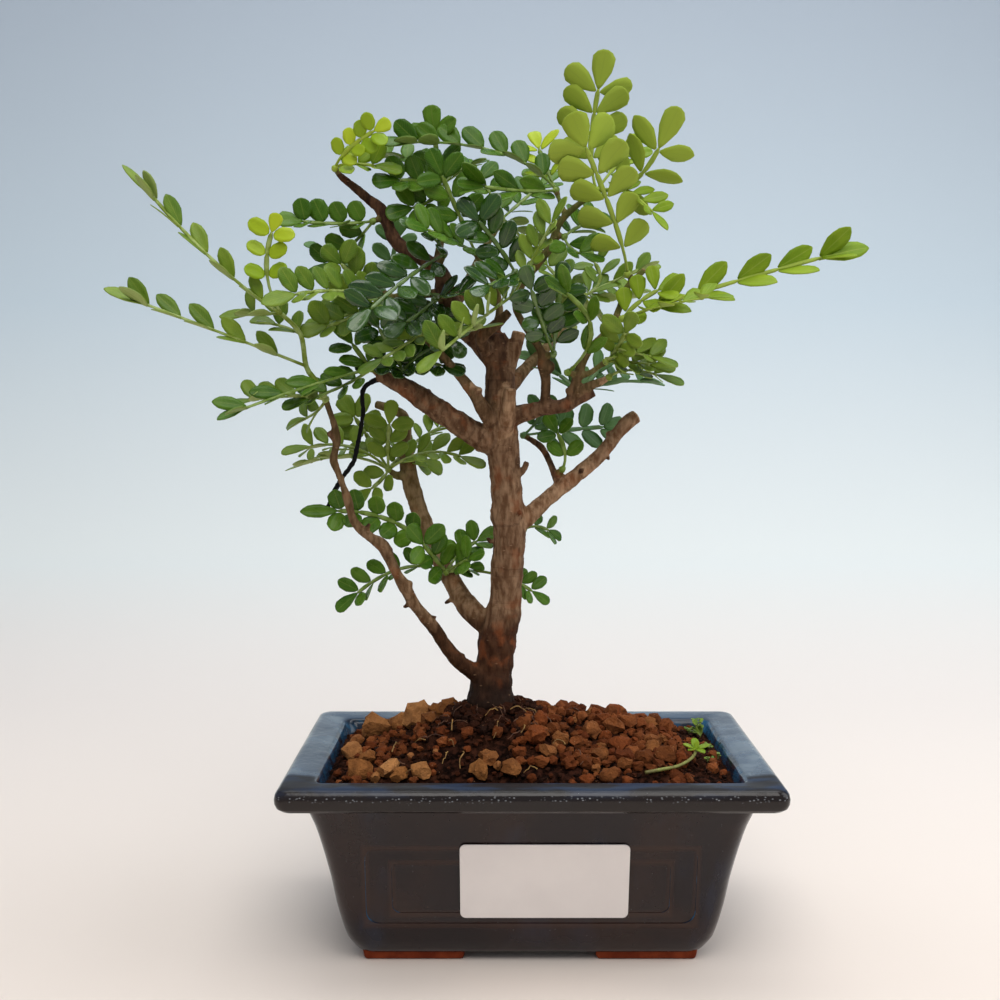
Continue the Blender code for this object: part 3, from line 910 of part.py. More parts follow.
def main():
    clear_scene()
    parts = collection("chinese_pepper_bonsai")
    cutters = collection("cutters")
    glaze = material("glaze", (0.03, 0.04, 0.06), 0.25)
    paper = material("paper", (0.85, 0.85, 0.87), 0.5)
    net = material("net", (0.03, 0.03, 0.03), 0.6)
    humus = material("humus", (0.11, 0.05, 0.03), 0.95)
    bark = material("bark", (0.17, 0.11, 0.08), 0.75)
    shades = {"light": (0.24, 0.38, 0.05), "mid": (0.1, 0.24, 0.03), "dark": (0.03, 0.11, 0.02),
              "pale": (0.3, 0.43, 0.06), "young": (0.45, 0.6, 0.05), "teal": (0.05, 0.2, 0.08)}
    leaves = {shade: material(f"leaf_{shade}", colour, 0.35) for shade, colour in shades.items()}
    make_pot(parts, cutters, glaze)
    make_label(parts, paper)
    make_pads(parts, net)
    trunk = make_trunk(parts, cutters, bark)
    foot = WOOD["stem"][:7]
    hole_points = [seen(place) for place in foot]
    hole_points[0] = hole_points[0] - Vector((0, 0, 1.3 * GAP))
    hole = tube("stem_hole", hole_points, [place[3] + 1.3 * GAP / MM for place in foot], cutters)
    cutters.objects.unlink(hole)
    make_soil(parts, cutters, humus, hole)
    make_weed(parts, cutters, leaves["light"])
    make_sprays(parts, cutters, trunk, leaves)
    bpy.data.collections.remove(cutters)


main()
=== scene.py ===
# Chinese pepper bonsai in its glazed trough. Lengths in the tables are millimetres.
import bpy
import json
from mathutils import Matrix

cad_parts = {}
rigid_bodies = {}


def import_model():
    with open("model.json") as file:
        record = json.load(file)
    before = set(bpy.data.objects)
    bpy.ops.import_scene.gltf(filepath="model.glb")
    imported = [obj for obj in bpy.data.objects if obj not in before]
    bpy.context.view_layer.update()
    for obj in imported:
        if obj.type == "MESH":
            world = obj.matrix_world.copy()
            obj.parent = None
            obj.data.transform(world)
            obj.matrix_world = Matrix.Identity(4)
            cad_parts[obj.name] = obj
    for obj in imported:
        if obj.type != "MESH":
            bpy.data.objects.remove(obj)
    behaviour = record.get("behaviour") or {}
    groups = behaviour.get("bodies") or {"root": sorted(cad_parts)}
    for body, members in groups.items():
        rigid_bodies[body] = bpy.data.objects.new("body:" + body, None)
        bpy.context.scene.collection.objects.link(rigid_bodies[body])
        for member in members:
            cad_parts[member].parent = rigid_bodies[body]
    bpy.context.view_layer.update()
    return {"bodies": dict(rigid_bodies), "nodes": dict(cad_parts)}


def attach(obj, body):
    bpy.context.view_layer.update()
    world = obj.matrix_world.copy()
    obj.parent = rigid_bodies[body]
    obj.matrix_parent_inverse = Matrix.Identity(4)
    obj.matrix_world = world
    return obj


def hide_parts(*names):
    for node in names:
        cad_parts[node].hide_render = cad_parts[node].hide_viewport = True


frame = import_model()

import json
import math
import random

import bmesh
import bpy
from mathutils import Matrix, Vector, noise
from mathutils.kdtree import KDTree

print("frame loaded")

# where the photograph was taken from, and how far the pot's middle is from the origin
view = {
    "eye": Vector((-9.45, -404.8, 174.2)),
    "potShift": Vector((13.45, -2.3, 0.0)),
    "lens": 45.0,
    "sensor": 36.0,
    "pitch": 4.5,
    "nearest": 0.01,
}
milli = 0.001


def potPoint(x, y, z):
    return (Vector((x, y, z)) + view["potShift"]) * milli


# a place given as across, height and depth along the line of sight
def seen(spot):
    across, height, depth = spot[:3]
    eye = view["eye"]
    flat = Vector((across, 0.0, height))
    return (eye + (flat - eye) * (-eye.y + depth) / -eye.y + view["potShift"]) * milli


# handling of objects
def pickOnly(*objs):
    if bpy.context.object and bpy.context.object.mode != "OBJECT":
        bpy.ops.object.mode_set(mode="OBJECT")
    bpy.ops.object.select_all(action="DESELECT")
    for obj in objs:
        obj.select_set(True)
    bpy.context.view_layer.objects.active = objs[0]


# nothing but the frame's own body is picked before a primitive is added
def pickNone():
    pickOnly(frame["bodies"]["root"])


def applyModifiers(obj):
    pickOnly(obj)
    for modifier in list(obj.modifiers):
        bpy.ops.object.modifier_apply(modifier=modifier.name)


def modified(obj, name, kind, **settings):
    change = obj.modifiers.new(name, kind)
    for label, value in settings.items():
        setattr(change, label, value)


def smoothBelow(obj, degrees):
    pickOnly(obj)
    bpy.ops.object.shade_smooth_by_angle(angle=math.radians(degrees))


def joined(name, objs):
    pickOnly(*objs)
    bpy.ops.object.join()
    obj = bpy.context.object
    obj.name = name
    obj.data.name = name
    return obj


def settle(obj):
    pickOnly(obj)
    bpy.ops.object.transform_apply(location=True, rotation=True, scale=True)
    return obj


def placed(name, data):
    obj = bpy.data.objects.new(name, data)
    bpy.context.scene.collection.objects.link(obj)
    return obj


# the object of a mesh that was being made
def madeFrom(edit, name):
    mesh = bpy.data.meshes.new(name)
    edit.to_mesh(mesh)
    edit.free()
    return placed(name, mesh)


def tubeCurve(name, resolution):
    curve = bpy.data.curves.new(name, "CURVE")
    curve.dimensions = "3D"
    curve.bevel_depth = milli
    curve.bevel_resolution = resolution
    curve.use_fill_caps = True
    return placed(name, curve), curve


# lays a run of points and radii along a curve
def splineAlong(curve, run):
    line = curve.splines.new("POLY")
    line.points.add(len(run) - 1)
    for target, (point, radius) in zip(line.points, run):
        target.co = (*point, 1)
        target.radius = radius


def asMesh(obj):
    pickOnly(obj)
    bpy.ops.object.convert(target="MESH")
    return bpy.context.object


# keeps a value at each point of a mesh for its finish to read
def markPoints(obj, name, values):
    layer = obj.data.attributes.new(name, "FLOAT", "POINT")
    layer.data.foreach_set("value", values)


def dress(obj, finish, slotName, *nodes):
    obj.data.materials.clear()
    for one in finish if isinstance(finish, (list, tuple)) else [finish]:
        obj.data.materials.append(one)
    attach(obj, "root")
    if nodes:
        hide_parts(*nodes)
    return obj


# finishes
# sets a socket to a value, or links it to another socket
def wire(tree, value, socket):
    if isinstance(value, bpy.types.NodeSocket):
        tree.links.new(value, socket)
    else:
        socket.default_value = value


# an effect that several finishes share: it reads a place and some numbers, and gives a mask
def newGroup(name, **numbers):
    tree = bpy.data.node_groups.new(name, "ShaderNodeTree")
    tree.interface.new_socket("Vector", in_out="INPUT", socket_type="NodeSocketVector")
    for label, value in numbers.items():
        socket = tree.interface.new_socket(label, in_out="INPUT", socket_type="NodeSocketFloat")
        socket.default_value = value
    tree.interface.new_socket("Mask", in_out="OUTPUT", socket_type="NodeSocketFloat")
    return tree, tree.nodes.new("NodeGroupInput").outputs, tree.nodes.new("NodeGroupOutput").inputs


# soft cloudy mask between two levels of a noise
def makeMottle():
    tree, given, out = newGroup("mottle", Scale=200.0, Detail=4.0, Low=0.4, High=0.6)
    cloud = tree.nodes.new("ShaderNodeTexNoise")
    level = tree.nodes.new("ShaderNodeMapRange")
    level.interpolation_type = "SMOOTHSTEP"
    for label in ("Vector", "Scale", "Detail"):
        wire(tree, given[label], cloud.inputs[label])
    wire(tree, cloud.outputs["Fac"], level.inputs["Value"])
    wire(tree, given["Low"], level.inputs["From Min"])
    wire(tree, given["High"], level.inputs["From Max"])
    wire(tree, level.outputs["Result"], out["Mask"])
    return tree


# scattered dots: pinholes, glands and lenticels
def makeDots():
    tree, given, out = newGroup("dots", Scale=900.0, Size=0.25, Share=0.5)
    cells = tree.nodes.new("ShaderNodeTexVoronoi")
    near = tree.nodes.new("ShaderNodeMapRange")
    near.interpolation_type = "SMOOTHSTEP"
    split = tree.nodes.new("ShaderNodeSeparateColor")
    chosen, both = tree.nodes.new("ShaderNodeMath"), tree.nodes.new("ShaderNodeMath")
    chosen.operation, both.operation = "LESS_THAN", "MULTIPLY"
    for value, socket in ((given["Vector"], cells.inputs["Vector"]), (given["Scale"], cells.inputs["Scale"]),
                          (1.0, near.inputs["To Min"]), (0.0, near.inputs["To Max"]),
                          (cells.outputs["Distance"], near.inputs["Value"]),
                          (given["Size"], near.inputs["From Max"]),
                          (cells.outputs["Color"], split.inputs["Color"]),
                          (split.outputs["Red"], chosen.inputs[0]), (given["Share"], chosen.inputs[1]),
                          (near.outputs["Result"], both.inputs[0]), (chosen.outputs["Value"], both.inputs[1]),
                          (both.outputs["Value"], out["Mask"])):
        wire(tree, value, socket)
    return tree


mottleGroup = makeMottle()
dotsGroup = makeDots()


# a finish in the making, with the base colour that its steps build up
class Finish:
    def __init__(self, name, roughness, **sockets):
        self.material = bpy.data.materials.new(name)
        self.material.use_nodes = True
        self.tree = self.material.node_tree
        self.shader = self.tree.nodes["Principled BSDF"]
        self.shader.inputs["Roughness"].default_value = roughness
        for label, value in sockets.items():
            self.shader.inputs[label.replace("_", " ")].default_value = value
        self.spot = self.node("TexCoord").outputs["Object"]
        self.base = None

    def node(self, kind, **inputs):
        made = self.tree.nodes.new("ShaderNode" + kind)
        for label, value in inputs.items():
            wire(self.tree, value, made.inputs[label.replace("_", " ")])
        return made

    def sums(self, operation, *values):
        made = self.node("Math")
        made.operation = operation
        made.use_clamp = operation in ("ADD", "MULTIPLY")
        for socket, value in zip(made.inputs, values):
            wire(self.tree, value, socket)
        return made.outputs["Value"]

    def times(self, first, second):
        return self.sums("MULTIPLY", first, second)

    def plus(self, first, second):
        return self.sums("ADD", first, second)

    def between(self, value, low, high, toLow=0.0, toHigh=1.0):
        made = self.node("MapRange", Value=value, From_Min=low, From_Max=high, To_Min=toLow, To_Max=toHigh)
        return made.outputs["Result"]

    def part(self, vector, axis):
        return self.node("SeparateXYZ", Vector=vector).outputs[axis]

    def attribute(self, name):
        made = self.node("Attribute")
        made.attribute_name = name
        return made.outputs["Fac"]

    def stretched(self, *scale):
        return self.node("Mapping", Vector=self.spot, Scale=scale).outputs["Vector"]

    def mask(self, group, vector, **numbers):
        made = self.node("Group")
        made.node_tree = group
        for label, value in (("Vector", vector), *numbers.items()):
            wire(self.tree, value, made.inputs[label])
        return made.outputs["Mask"]

    def mottle(self, scale, low, high, detail=4.0, vector=None):
        return self.mask(mottleGroup, vector or self.spot, Scale=scale, Low=low, High=high, Detail=detail)

    def dots(self, scale, size, share, vector=None):
        return self.mask(dotsGroup, vector or self.spot, Scale=scale, Size=size, Share=share)

    def mix(self, factor, first, second, way="MIX"):
        made = self.node("Mix")
        made.data_type = "RGBA"
        made.blend_type = way
        for label, value in (("Factor", factor), ("A", first), ("B", second)):
            wire(self.tree, (*value, 1.0) if isinstance(value, tuple) else value, made.inputs[label])
        return made.outputs["Result"]

    # lays a colour over the base as far as a mask says
    def over(self, mask, colour, amount=None):
        self.base = self.mix(mask if amount is None else self.times(mask, amount), self.base, colour)

    def done(self, height=None, strength=0.0, distance=0.0):
        wire(self.tree, self.base, self.shader.inputs["Base Color"])
        if height is not None:
            bump = self.node("Bump", Strength=strength, Distance=distance, Height=height)
            wire(self.tree, bump.outputs["Normal"], self.shader.inputs["Normal"])
        return self.material


# camera, floor and light
studio = {
    "floor": (0.850, 0.742, 0.660),
    "floorFar": (0.865, 0.790, 0.735),
    "farFrom": (-0.05, 0.35),
    # the tones up the paper, each with the heights between which it comes in; their darkening with height is
    # painted falloff of the light
    "rising": (((0.80, 0.825, 0.805), 0.0, 0.05), ((0.600, 0.685, 0.740), 0.06, 0.27),
               ((0.462, 0.528, 0.610), 0.27, 0.62)),
    # a factor from left to right across the paper, painted falloff of light that comes from the right
    "leftRight": (-0.35, 0.35, 0.96, 1.02),
    "floorReach": 3.0,
    "wallAway": 0.9,
    "curve": 0.6, "curveSteps": 24,
    "sky": 0.42, "skyColour": (0.86, 0.92, 1.0, 1),
    # place, aim, size, power and colour of each lamp
    "lamps": {
        "keyLight": ((0.06, -0.60, 0.95), (0, 0, 0.12), (0.8, 0.6), 5.4, (1.0, 0.98, 0.95)),
        "roofLight": ((0.05, 0.08, 1.0), (0.02, 0, 0.12), (0.9, 0.6), 3.6, (0.97, 0.99, 1.0)),
        "sideLight": ((0.80, -0.08, 0.50), (0, 0, 0.12), (0.5, 0.7), 2.2, (0.94, 0.97, 1.0)),
        "washLight": ((0, 0.15, 1.3), (0, 0.75, 0.2), (1.6, 0.4), 2.3, (0.95, 0.98, 1.0)),
    },
}


def makeCamera():
    bpy.ops.object.camera_add(location=(view["eye"] + view["potShift"]) * milli,
                              rotation=(math.radians(90 - view["pitch"]), 0, 0))
    camera = bpy.context.object
    camera.data.lens = view["lens"]
    camera.data.sensor_width = view["sensor"]
    camera.data.clip_start = view["nearest"]
    bpy.context.scene.camera = camera


def areaLight(name, spot, aim, size, power, colour):
    bpy.ops.object.light_add(type="AREA", location=spot)
    lamp = bpy.context.object
    lamp.name = name
    lamp.data.shape = "RECTANGLE"
    lamp.data.size, lamp.data.size_y = size
    lamp.data.energy = power
    lamp.data.color = colour
    lamp.rotation_euler = (Vector(aim) - Vector(spot)).to_track_quat("-Z", "Y").to_euler()


# the paper is warm where it lies, pale where it curves up and a darker blue grey above, that darkening being
# painted falloff of the light; its right side is painted brighter
def backdropFinish():
    paper = Finish("studioPaper", 0.9)
    height, deep, across = (paper.part(paper.spot, axis) for axis in "ZYX")
    paper.base = paper.mix(paper.between(deep, *studio["farFrom"]), studio["floor"], studio["floorFar"])
    for tone, low, high in studio["rising"]:
        paper.over(paper.between(height, low, high), tone)
    # the paper is multiplied by a painted falloff of light, brighter to the right
    paper.base = paper.mix(1.0, paper.base, paper.between(across, *studio["leftRight"]), "MULTIPLY")
    return paper.done()


def makeStudio():
    world = bpy.data.worlds.new("studioSky")
    world.use_nodes = True
    sky = world.node_tree.nodes["Background"]
    sky.inputs["Color"].default_value = studio["skyColour"]
    sky.inputs["Strength"].default_value = studio["sky"]
    bpy.context.scene.world = world
    bpy.context.scene.view_settings.view_transform = "Standard"
    reach, away = studio["floorReach"], studio["wallAway"]
    pickNone()
    bpy.ops.mesh.primitive_plane_add(size=2 * reach, location=(0, 0, 0))
    floor = bpy.context.object
    floor.name = "studioFloor"
    bpy.ops.object.mode_set(mode="EDIT")
    bpy.ops.mesh.select_all(action="SELECT")
    bpy.ops.mesh.bisect(plane_co=(0, away, 0), plane_no=(0, 1, 0), clear_outer=True)
    bpy.ops.object.mode_set(mode="OBJECT")
    # its far edge is drawn up to a wall, and the fold between them rounded
    edit = bmesh.new()
    edit.from_mesh(floor.data)
    back = [edge for edge in edit.edges if all(abs(v.co.y - away) < 1e-6 for v in edge.verts)]
    raised = bmesh.ops.extrude_edge_only(edit, edges=back)
    bmesh.ops.translate(edit, vec=(0, 0, reach),
                        verts=[v for v in raised["geom"] if isinstance(v, bmesh.types.BMVert)])
    bmesh.ops.recalc_face_normals(edit, faces=edit.faces)
    edit.to_mesh(floor.data)
    edit.free()
    modified(floor, "bend", "BEVEL", width=studio["curve"], segments=studio["curveSteps"])
    applyModifiers(floor)
    bpy.ops.object.shade_smooth()
    floor.data.materials.append(backdropFinish())
    for name, lamp in studio["lamps"].items():
        areaLight(name, *lamp)


makeCamera()
makeStudio()
print("camera, floor and light made")


# the pot: a trough drawn up ring by ring from its base, with panels, drain holes and bare feet
trough = {
    "slim": 27.5,
    "corner": 6.0,
    "lipCorner": 3.5, "lipFrom": 53.2,
    "innerCorner": 5.0,
    "cornerSteps": 7,
    "wall": [(53.0, 2.6), (54.0, 2.8), (54.9, 3.5), (55.7, 4.8), (56.5, 6.2), (57.4, 8.0), (58.2, 10.7),
             (58.9, 13.5), (59.6, 16.6), (60.3, 20.0), (60.95, 24.0), (61.6, 28.0), (62.4, 31.8),
             (63.2, 35.5), (64.1, 39.4), (65.0, 43.0), (65.9, 46.2), (66.9, 49.0), (67.8, 51.6),
             (68.4, 53.0)],
    "lip": [(70.4, 53.6), (72.6, 53.5), (74.3, 53.9), (75.4, 54.9), (75.9, 56.3), (76.0, 57.8), (75.7, 59.2),
            (75.0, 60.3), (74.0, 60.9), (72.8, 61.0), (70.0, 60.8), (67.0, 60.5), (65.8, 60.3), (65.0, 59.8),
            (64.5, 59.0)],
    "inside": [(64.0, 57.4), (63.2, 54.5), (61.8, 49.0), (60.0, 41.0), (57.4, 30.0), (54.6, 15.0),
               (52.0, 10.0)],
    # width, height, middle, depth and corner of a panel
    "panels": ((101.0, 26.0, 26.5, 0.55, 4.0), (85.0, 17.5, 25.8, 1.0, 2.6)),
    "cutterDepth": 4.0,
    # distance from the middle, radius, depth of the cut and its middle
    "drain": (28.0, 6.0, 20.0, 7.0),
    "softEdge": 0.35, "softFrom": 28, "smoothFrom": 32,
    # how far in and how high the glaze counts as inside, and what counts as the lip's edge, which bounds the
    # painted glints
    "insideReach": (65.2, 9.0, 60.2),
    "edgeReach": (53.8, 74.6), "wallEdge": 0.12,
    # place, size and height of the feet, how their soles narrow, and their round edge
    "foot": (36.4, 20.4, 32.6, 12.2, 5.0), "sole": (0.955, 0.89, 1), "footEdge": 1.1,
}
glazeLook = {
    "body": (0.0105, 0.0056, 0.0072),
    "bodyBlue": (0.0140, 0.0190, 0.0370),
    "bodyBrown": (0.0340, 0.0140, 0.0080),
    "border": (0.0480, 0.0200, 0.0110),
    "rimBlue": (0.055, 0.085, 0.130),
    "rimPale": (0.105, 0.142, 0.182),
    "rimFront": (0.013, 0.025, 0.058),
    "rimDark": (0.012, 0.018, 0.034),
    "edge": (0.010, 0.006, 0.005),
    "wallTeal": (0.016, 0.085, 0.170),
    # pale flecks in the glaze, and the colour of the painted glints along the lip
    "fleck": (0.42, 0.45, 0.48),
    "pin": (0.003, 0.003, 0.004),
    # scale, low, high and detail of each cloudy pattern
    "streaks": (75, 0.50, 0.72, 7), "streakPull": (1, 1, 0.3),
    "clouds": (34, 0.42, 0.66, 6),
    "patches": (120, 0.42, 0.60, 8),
    "wide": (36, 0.40, 0.64, 5),
    "pools": (150, 0.45, 0.60, 7), "poolPull": (0.4, 1, 1),
    "waves": (130, 0.2, 0.8, 3),
    # scale, size and share of each kind of dots
    "pins": (620, 0.20, 0.14),
    "pitGlints": (1500, 0.42, 0.5), "pitGlintPull": (0.6, 0.6, 1),
    "flecks": (1150, 0.16, 0.035),
}


# a thin brown line round a panel: partly the glaze running thin off its border, partly a painted highlight
# along its step
def borderLine(glaze, width, height, middle):
    over = []
    for axis, centre, size in (("X", view["potShift"].x, width), ("Z", middle, height)):
        away = glaze.sums("SUBTRACT", glaze.part(glaze.spot, axis), centre * milli)
        over.append(glaze.sums("SUBTRACT", glaze.sums("ABSOLUTE", away), size / 2 * milli))
    gap = glaze.sums("ABSOLUTE", glaze.sums("MAXIMUM", *over))
    return glaze.between(gap, 0.0015, 0.0003)


def glazeFinish():
    glaze = Finish("stonewareGlaze", 0.16, Coat_Weight=0.10, Coat_Roughness=0.05, Specular_IOR_Level=0.32)
    times, between = glaze.times, glaze.between
    height = glaze.part(glaze.spot, "Z")
    up = glaze.part(glaze.node("NewGeometry").outputs["Normal"], "Z")
    cloud = glaze.mottle(*glazeLook["clouds"])
    streak = glaze.mottle(*glazeLook["streaks"], glaze.stretched(*glazeLook["streakPull"]))
    glaze.base = glaze.mix(times(streak, 0.7), glazeLook["body"], glazeLook["bodyBlue"])
    glaze.over(cloud, glazeLook["bodyBrown"], 0.45)
    # brown lines round the panels, partly painted highlight of their steps
    for width, tall, middle, _, _ in trough["panels"]:
        glaze.over(borderLine(glaze, width, tall, middle), glazeLook["border"], 0.45)
    # the lip is nearly black outside and slate blue on top, where the glaze pooled
    glaze.over(between(height, 0.0532, 0.0540), glazeLook["edge"], 0.85)
    patch = glaze.mottle(*glazeLook["patches"])
    rim = glaze.mix(patch, glazeLook["rimBlue"], glazeLook["rimPale"])
    rim = glaze.mix(times(glaze.mottle(*glazeLook["wide"]), 0.6), rim, glazeLook["rimDark"])
    pooled = glaze.mottle(*glazeLook["pools"], glaze.stretched(*glazeLook["poolPull"]))
    glaze.over(times(between(up, 0.12, 0.60), between(height, 0.0580, 0.0600)),
               glaze.mix(pooled, glazeLook["edge"], glazeLook["bodyBlue"]))
    # and darker along the front
    front = between(glaze.part(glaze.spot, "Y"), -0.0325, -0.0355)
    frontDark = glaze.mix(pooled, glazeLook["edge"], glazeLook["rimFront"])
    top = times(between(up, 0.80, 0.96), between(height, 0.0590, 0.0605))
    glaze.over(top, glaze.mix(times(front, 0.94), rim, frontDark))
    glaze.over(glaze.attribute("inside"), glaze.mix(patch, glazeLook["rimDark"], glazeLook["wallTeal"]))
    pin = glaze.dots(*glazeLook["pins"])
    glaze.over(pin, glazeLook["pin"])
    # along the lip's round edge burst bubbles pit the relief, and their pale dots are painted glints of its
    # highlight; a few pale flecks lie on the wall
    glintCrest = times(between(height, 0.0572, 0.0580), between(height, 0.0596, 0.0588))
    glintCrest = times(glintCrest, glaze.attribute("edge"))
    pitGlint = times(glaze.dots(*glazeLook["pitGlints"], glaze.stretched(*glazeLook["pitGlintPull"])), glintCrest)
    glaze.over(pitGlint, glazeLook["fleck"], 0.55)
    glaze.over(glaze.dots(*glazeLook["flecks"]), glazeLook["fleck"], 0.5)
    rough = glaze.plus(between(cloud, 0, 1, 0.14, 0.26), times(times(front, top), 0.5))
    wire(glaze.tree, glaze.plus(rough, times(pin, 0.4)), glaze.shader.inputs["Roughness"])
    relief = glaze.plus(times(glaze.mottle(*glazeLook["waves"]), 0.6), times(pitGlint, 0.4))
    return glaze.done(relief, 0.35, 0.0006)


# a plain finish of two colours in clouds, with a fine relief
def cloudedFinish(name, roughness, clouds, dark, pale, relief, strength, distance, **sockets):
    plain = Finish(name, roughness, **sockets)
    plain.base = plain.mix(plain.mottle(*clouds), dark, pale)
    return plain.done(plain.mottle(*relief), strength, distance)


# a rectangle with round corners at a height, point by point
def ringAt(half, height, corner):
    points = []
    reach = (half, half - trough["slim"])
    for quarter, (signX, signY) in enumerate(((1, 1), (-1, 1), (-1, -1), (1, -1))):
        for step in range(trough["cornerSteps"] + 1):
            angle = math.pi / 2 * (quarter + step / trough["cornerSteps"])
            x = signX * (reach[0] - corner) + corner * math.cos(angle)
            y = signY * (reach[1] - corner) + corner * math.sin(angle)
            points.append(potPoint(x, y, height))
    return points


# the resize operator would stretch the corners, so the rings are laid one by one and bridged
def drawUp(name, rings):
    edit = bmesh.new()
    loops = []
    for half, height in rings:
        corner = trough["lipCorner" if height > trough["lipFrom"] else "corner"]
        if (half, height) in trough["inside"]:
            corner = trough["innerCorner"]
        spots = [edit.verts.new(point) for point in ringAt(half, height, corner)]
        loops.append([edit.edges.new((a, b)) for a, b in zip(spots, spots[1:] + spots[:1])])
    for low, high in zip(loops, loops[1:]):
        bmesh.ops.bridge_loops(edit, edges=low + high)
    bmesh.ops.holes_fill(edit, edges=edit.edges, sides=0)
    bmesh.ops.recalc_face_normals(edit, faces=edit.faces)
    return madeFrom(edit, name)


# an upright block with its four edges through the wall rounded
def roundBlock(name, width, height, deep, corner, segments=5):
    pickNone()
    bpy.ops.mesh.primitive_cube_add(size=1, location=(0, 0, 0))
    block = bpy.context.object
    block.name = name
    block.dimensions = (width * milli, deep * milli, height * milli)
    settle(block)
    bpy.ops.object.mode_set(mode="EDIT")
    bpy.ops.mesh.select_mode(type="EDGE")
    bpy.ops.mesh.select_all(action="DESELECT")
    bpy.ops.object.mode_set(mode="OBJECT")
    for edge in block.data.edges:
        a, b = (block.data.vertices[i].co for i in edge.vertices)
        edge.select = abs(a.y - b.y) > deep * milli / 2
    bpy.ops.object.mode_set(mode="EDIT")
    bpy.ops.mesh.bevel(offset=corner * milli, segments=segments, affect="EDGES")
    bpy.ops.mesh.select_mode(type="VERT")
    bpy.ops.object.mode_set(mode="OBJECT")
    return block


# half width of the wall at a height
def wallAt(height):
    for (halfA, low), (halfB, high) in zip(trough["wall"], trough["wall"][1:]):
        if low <= height <= high:
            return halfA + (halfB - halfA) * (height - low) / (high - low)
    return trough["wall"][-1][0]


def ontoWall(block, across, height, tall, out, turn, sunk=0.0):
    low, high = wallAt(height - tall / 2) - sunk, wallAt(height + tall / 2)
    slim = trough["slim"] if abs(math.sin(turn)) < 0.5 else 0.0
    place = Vector((across, -((low + high) / 2 - slim + out), height)) * milli
    for change in (Matrix.Rotation(math.atan2(high - low, tall), 4, "X"), Matrix.Translation(place),
                   Matrix.Rotation(turn, 4, "Z"), Matrix.Translation(view["potShift"] * milli)):
        block.data.transform(change)
    return block


def cutAway(obj, cutter):
    modified(obj, "cut", "BOOLEAN", operation="DIFFERENCE", solver="EXACT", object=cutter)
    applyModifiers(obj)
    bpy.data.objects.remove(cutter)


def makeFeet():
    feet = []
    x, y, wide, deep, tall = trough["foot"]
    for sideX, sideY in ((-1, -1), (-1, 1), (1, -1), (1, 1)):
        bpy.ops.mesh.primitive_cube_add(size=1, location=potPoint(sideX * x, sideY * y, tall / 2))
        foot = bpy.context.object
        foot.dimensions = (wide * milli, deep * milli, tall * milli)
        settle(foot)
        bpy.ops.object.mode_set(mode="EDIT")
        bpy.ops.mesh.select_all(action="DESELECT")
        bpy.ops.object.mode_set(mode="OBJECT")
        for face in foot.data.polygons:
            face.select = face.normal.z < -0.9
        bpy.ops.object.mode_set(mode="EDIT")
        bpy.ops.transform.resize(value=trough["sole"])
        bpy.ops.object.mode_set(mode="OBJECT")
        modified(foot, "worn", "BEVEL", width=trough["footEdge"] * milli, segments=4)
        applyModifiers(foot)
        feet.append(foot)
    feet = joined("bareFeet", feet)
    smoothBelow(feet, 40)
    dress(feet, cloudedFinish("terracotta", 0.85, (160, 0.35, 0.65), (0.150, 0.022, 0.006),
                              (0.250, 0.046, 0.014), (900, 0.3, 0.7), 0.3, 0.0003, Specular_IOR_Level=0.15),
          "glaze", "pot")


def makeTrough():
    pot = drawUp("glazedTrough", trough["wall"] + trough["lip"] + trough["inside"])
    for width, tall, height, deep, corner in trough["panels"]:
        for quarter in range(4):
            wide = width if quarter % 2 == 0 else width - 2 * trough["slim"]
            thick = trough["cutterDepth"]
            block = roundBlock("panelCutter", wide, tall, thick, corner)
            cutAway(pot, ontoWall(block, 0.0, height, tall, thick / 2 - deep, quarter * math.pi / 2))
    away, radius, through, middle = trough["drain"]
    for side in (-1, 1):
        bpy.ops.mesh.primitive_cylinder_add(vertices=32, radius=radius * milli, depth=through * milli,
                                            location=potPoint(side * away, 0, middle))
        cutAway(pot, bpy.context.object)
    modified(pot, "soften", "BEVEL", width=trough["softEdge"] * milli, segments=2, limit_method="ANGLE",
             angle_limit=math.radians(trough["softFrom"]))
    applyModifiers(pot)
    smoothBelow(pot, trough["smoothFrom"])
    # where the inside wall and the lip's edges are, for the glaze: the painted glints keep to the lip's edge
    inside, edge = [], []
    middle = view["potShift"] * milli
    farthest, lowest, highest = trough["insideReach"]
    for vertex in pot.data.vertices:
        spot = vertex.co / milli - view["potShift"]
        out = max(abs(spot.x), abs(spot.y) + trough["slim"])
        inward = vertex.normal.x * (vertex.co.x - middle.x) + vertex.normal.y * (vertex.co.y - middle.y) < 0
        inside.append(1.0 if inward and out < farthest and lowest < spot.z < highest else 0.0)
        onLip = spot.z > trough["edgeReach"][0] and out > trough["edgeReach"][1]
        edge.append(1.0 if onLip else trough["wallEdge"])
    markPoints(pot, "inside", inside)
    markPoints(pot, "edge", edge)
    dress(pot, glazeFinish(), "glaze", "pot")


# width, height, thickness, place and corner of the label, how far its foot is sunk, and its crisp edge
sticker = {
    "size": (51.5, 25.8, 0.45),
    "place": (4.1, 28.6),
    "corner": 1.8, "cornerSteps": 8,
    "clear": 0.3, "sunk": 0.8, "crispEdge": 0.12,
}


def makeLabel():
    wide, tall, thick = sticker["size"]
    across, height = sticker["place"]
    label = roundBlock("blankLabel", wide, tall, thick, sticker["corner"], sticker["cornerSteps"])
    ontoWall(label, across, height, tall, thick / 2 + sticker["clear"], 0.0, sticker["sunk"])
    modified(label, "crisp", "BEVEL", width=sticker["crispEdge"] * milli, segments=2)
    applyModifiers(label)
    smoothBelow(label, 14)
    dress(label, cloudedFinish("labelPaper", 0.42, (60, 0.3, 0.7), (0.77, 0.715, 0.69),
                               (0.81, 0.755, 0.725), (2600, 0.3, 0.7, 2), 0.08, 0.0001), "paper", "label")


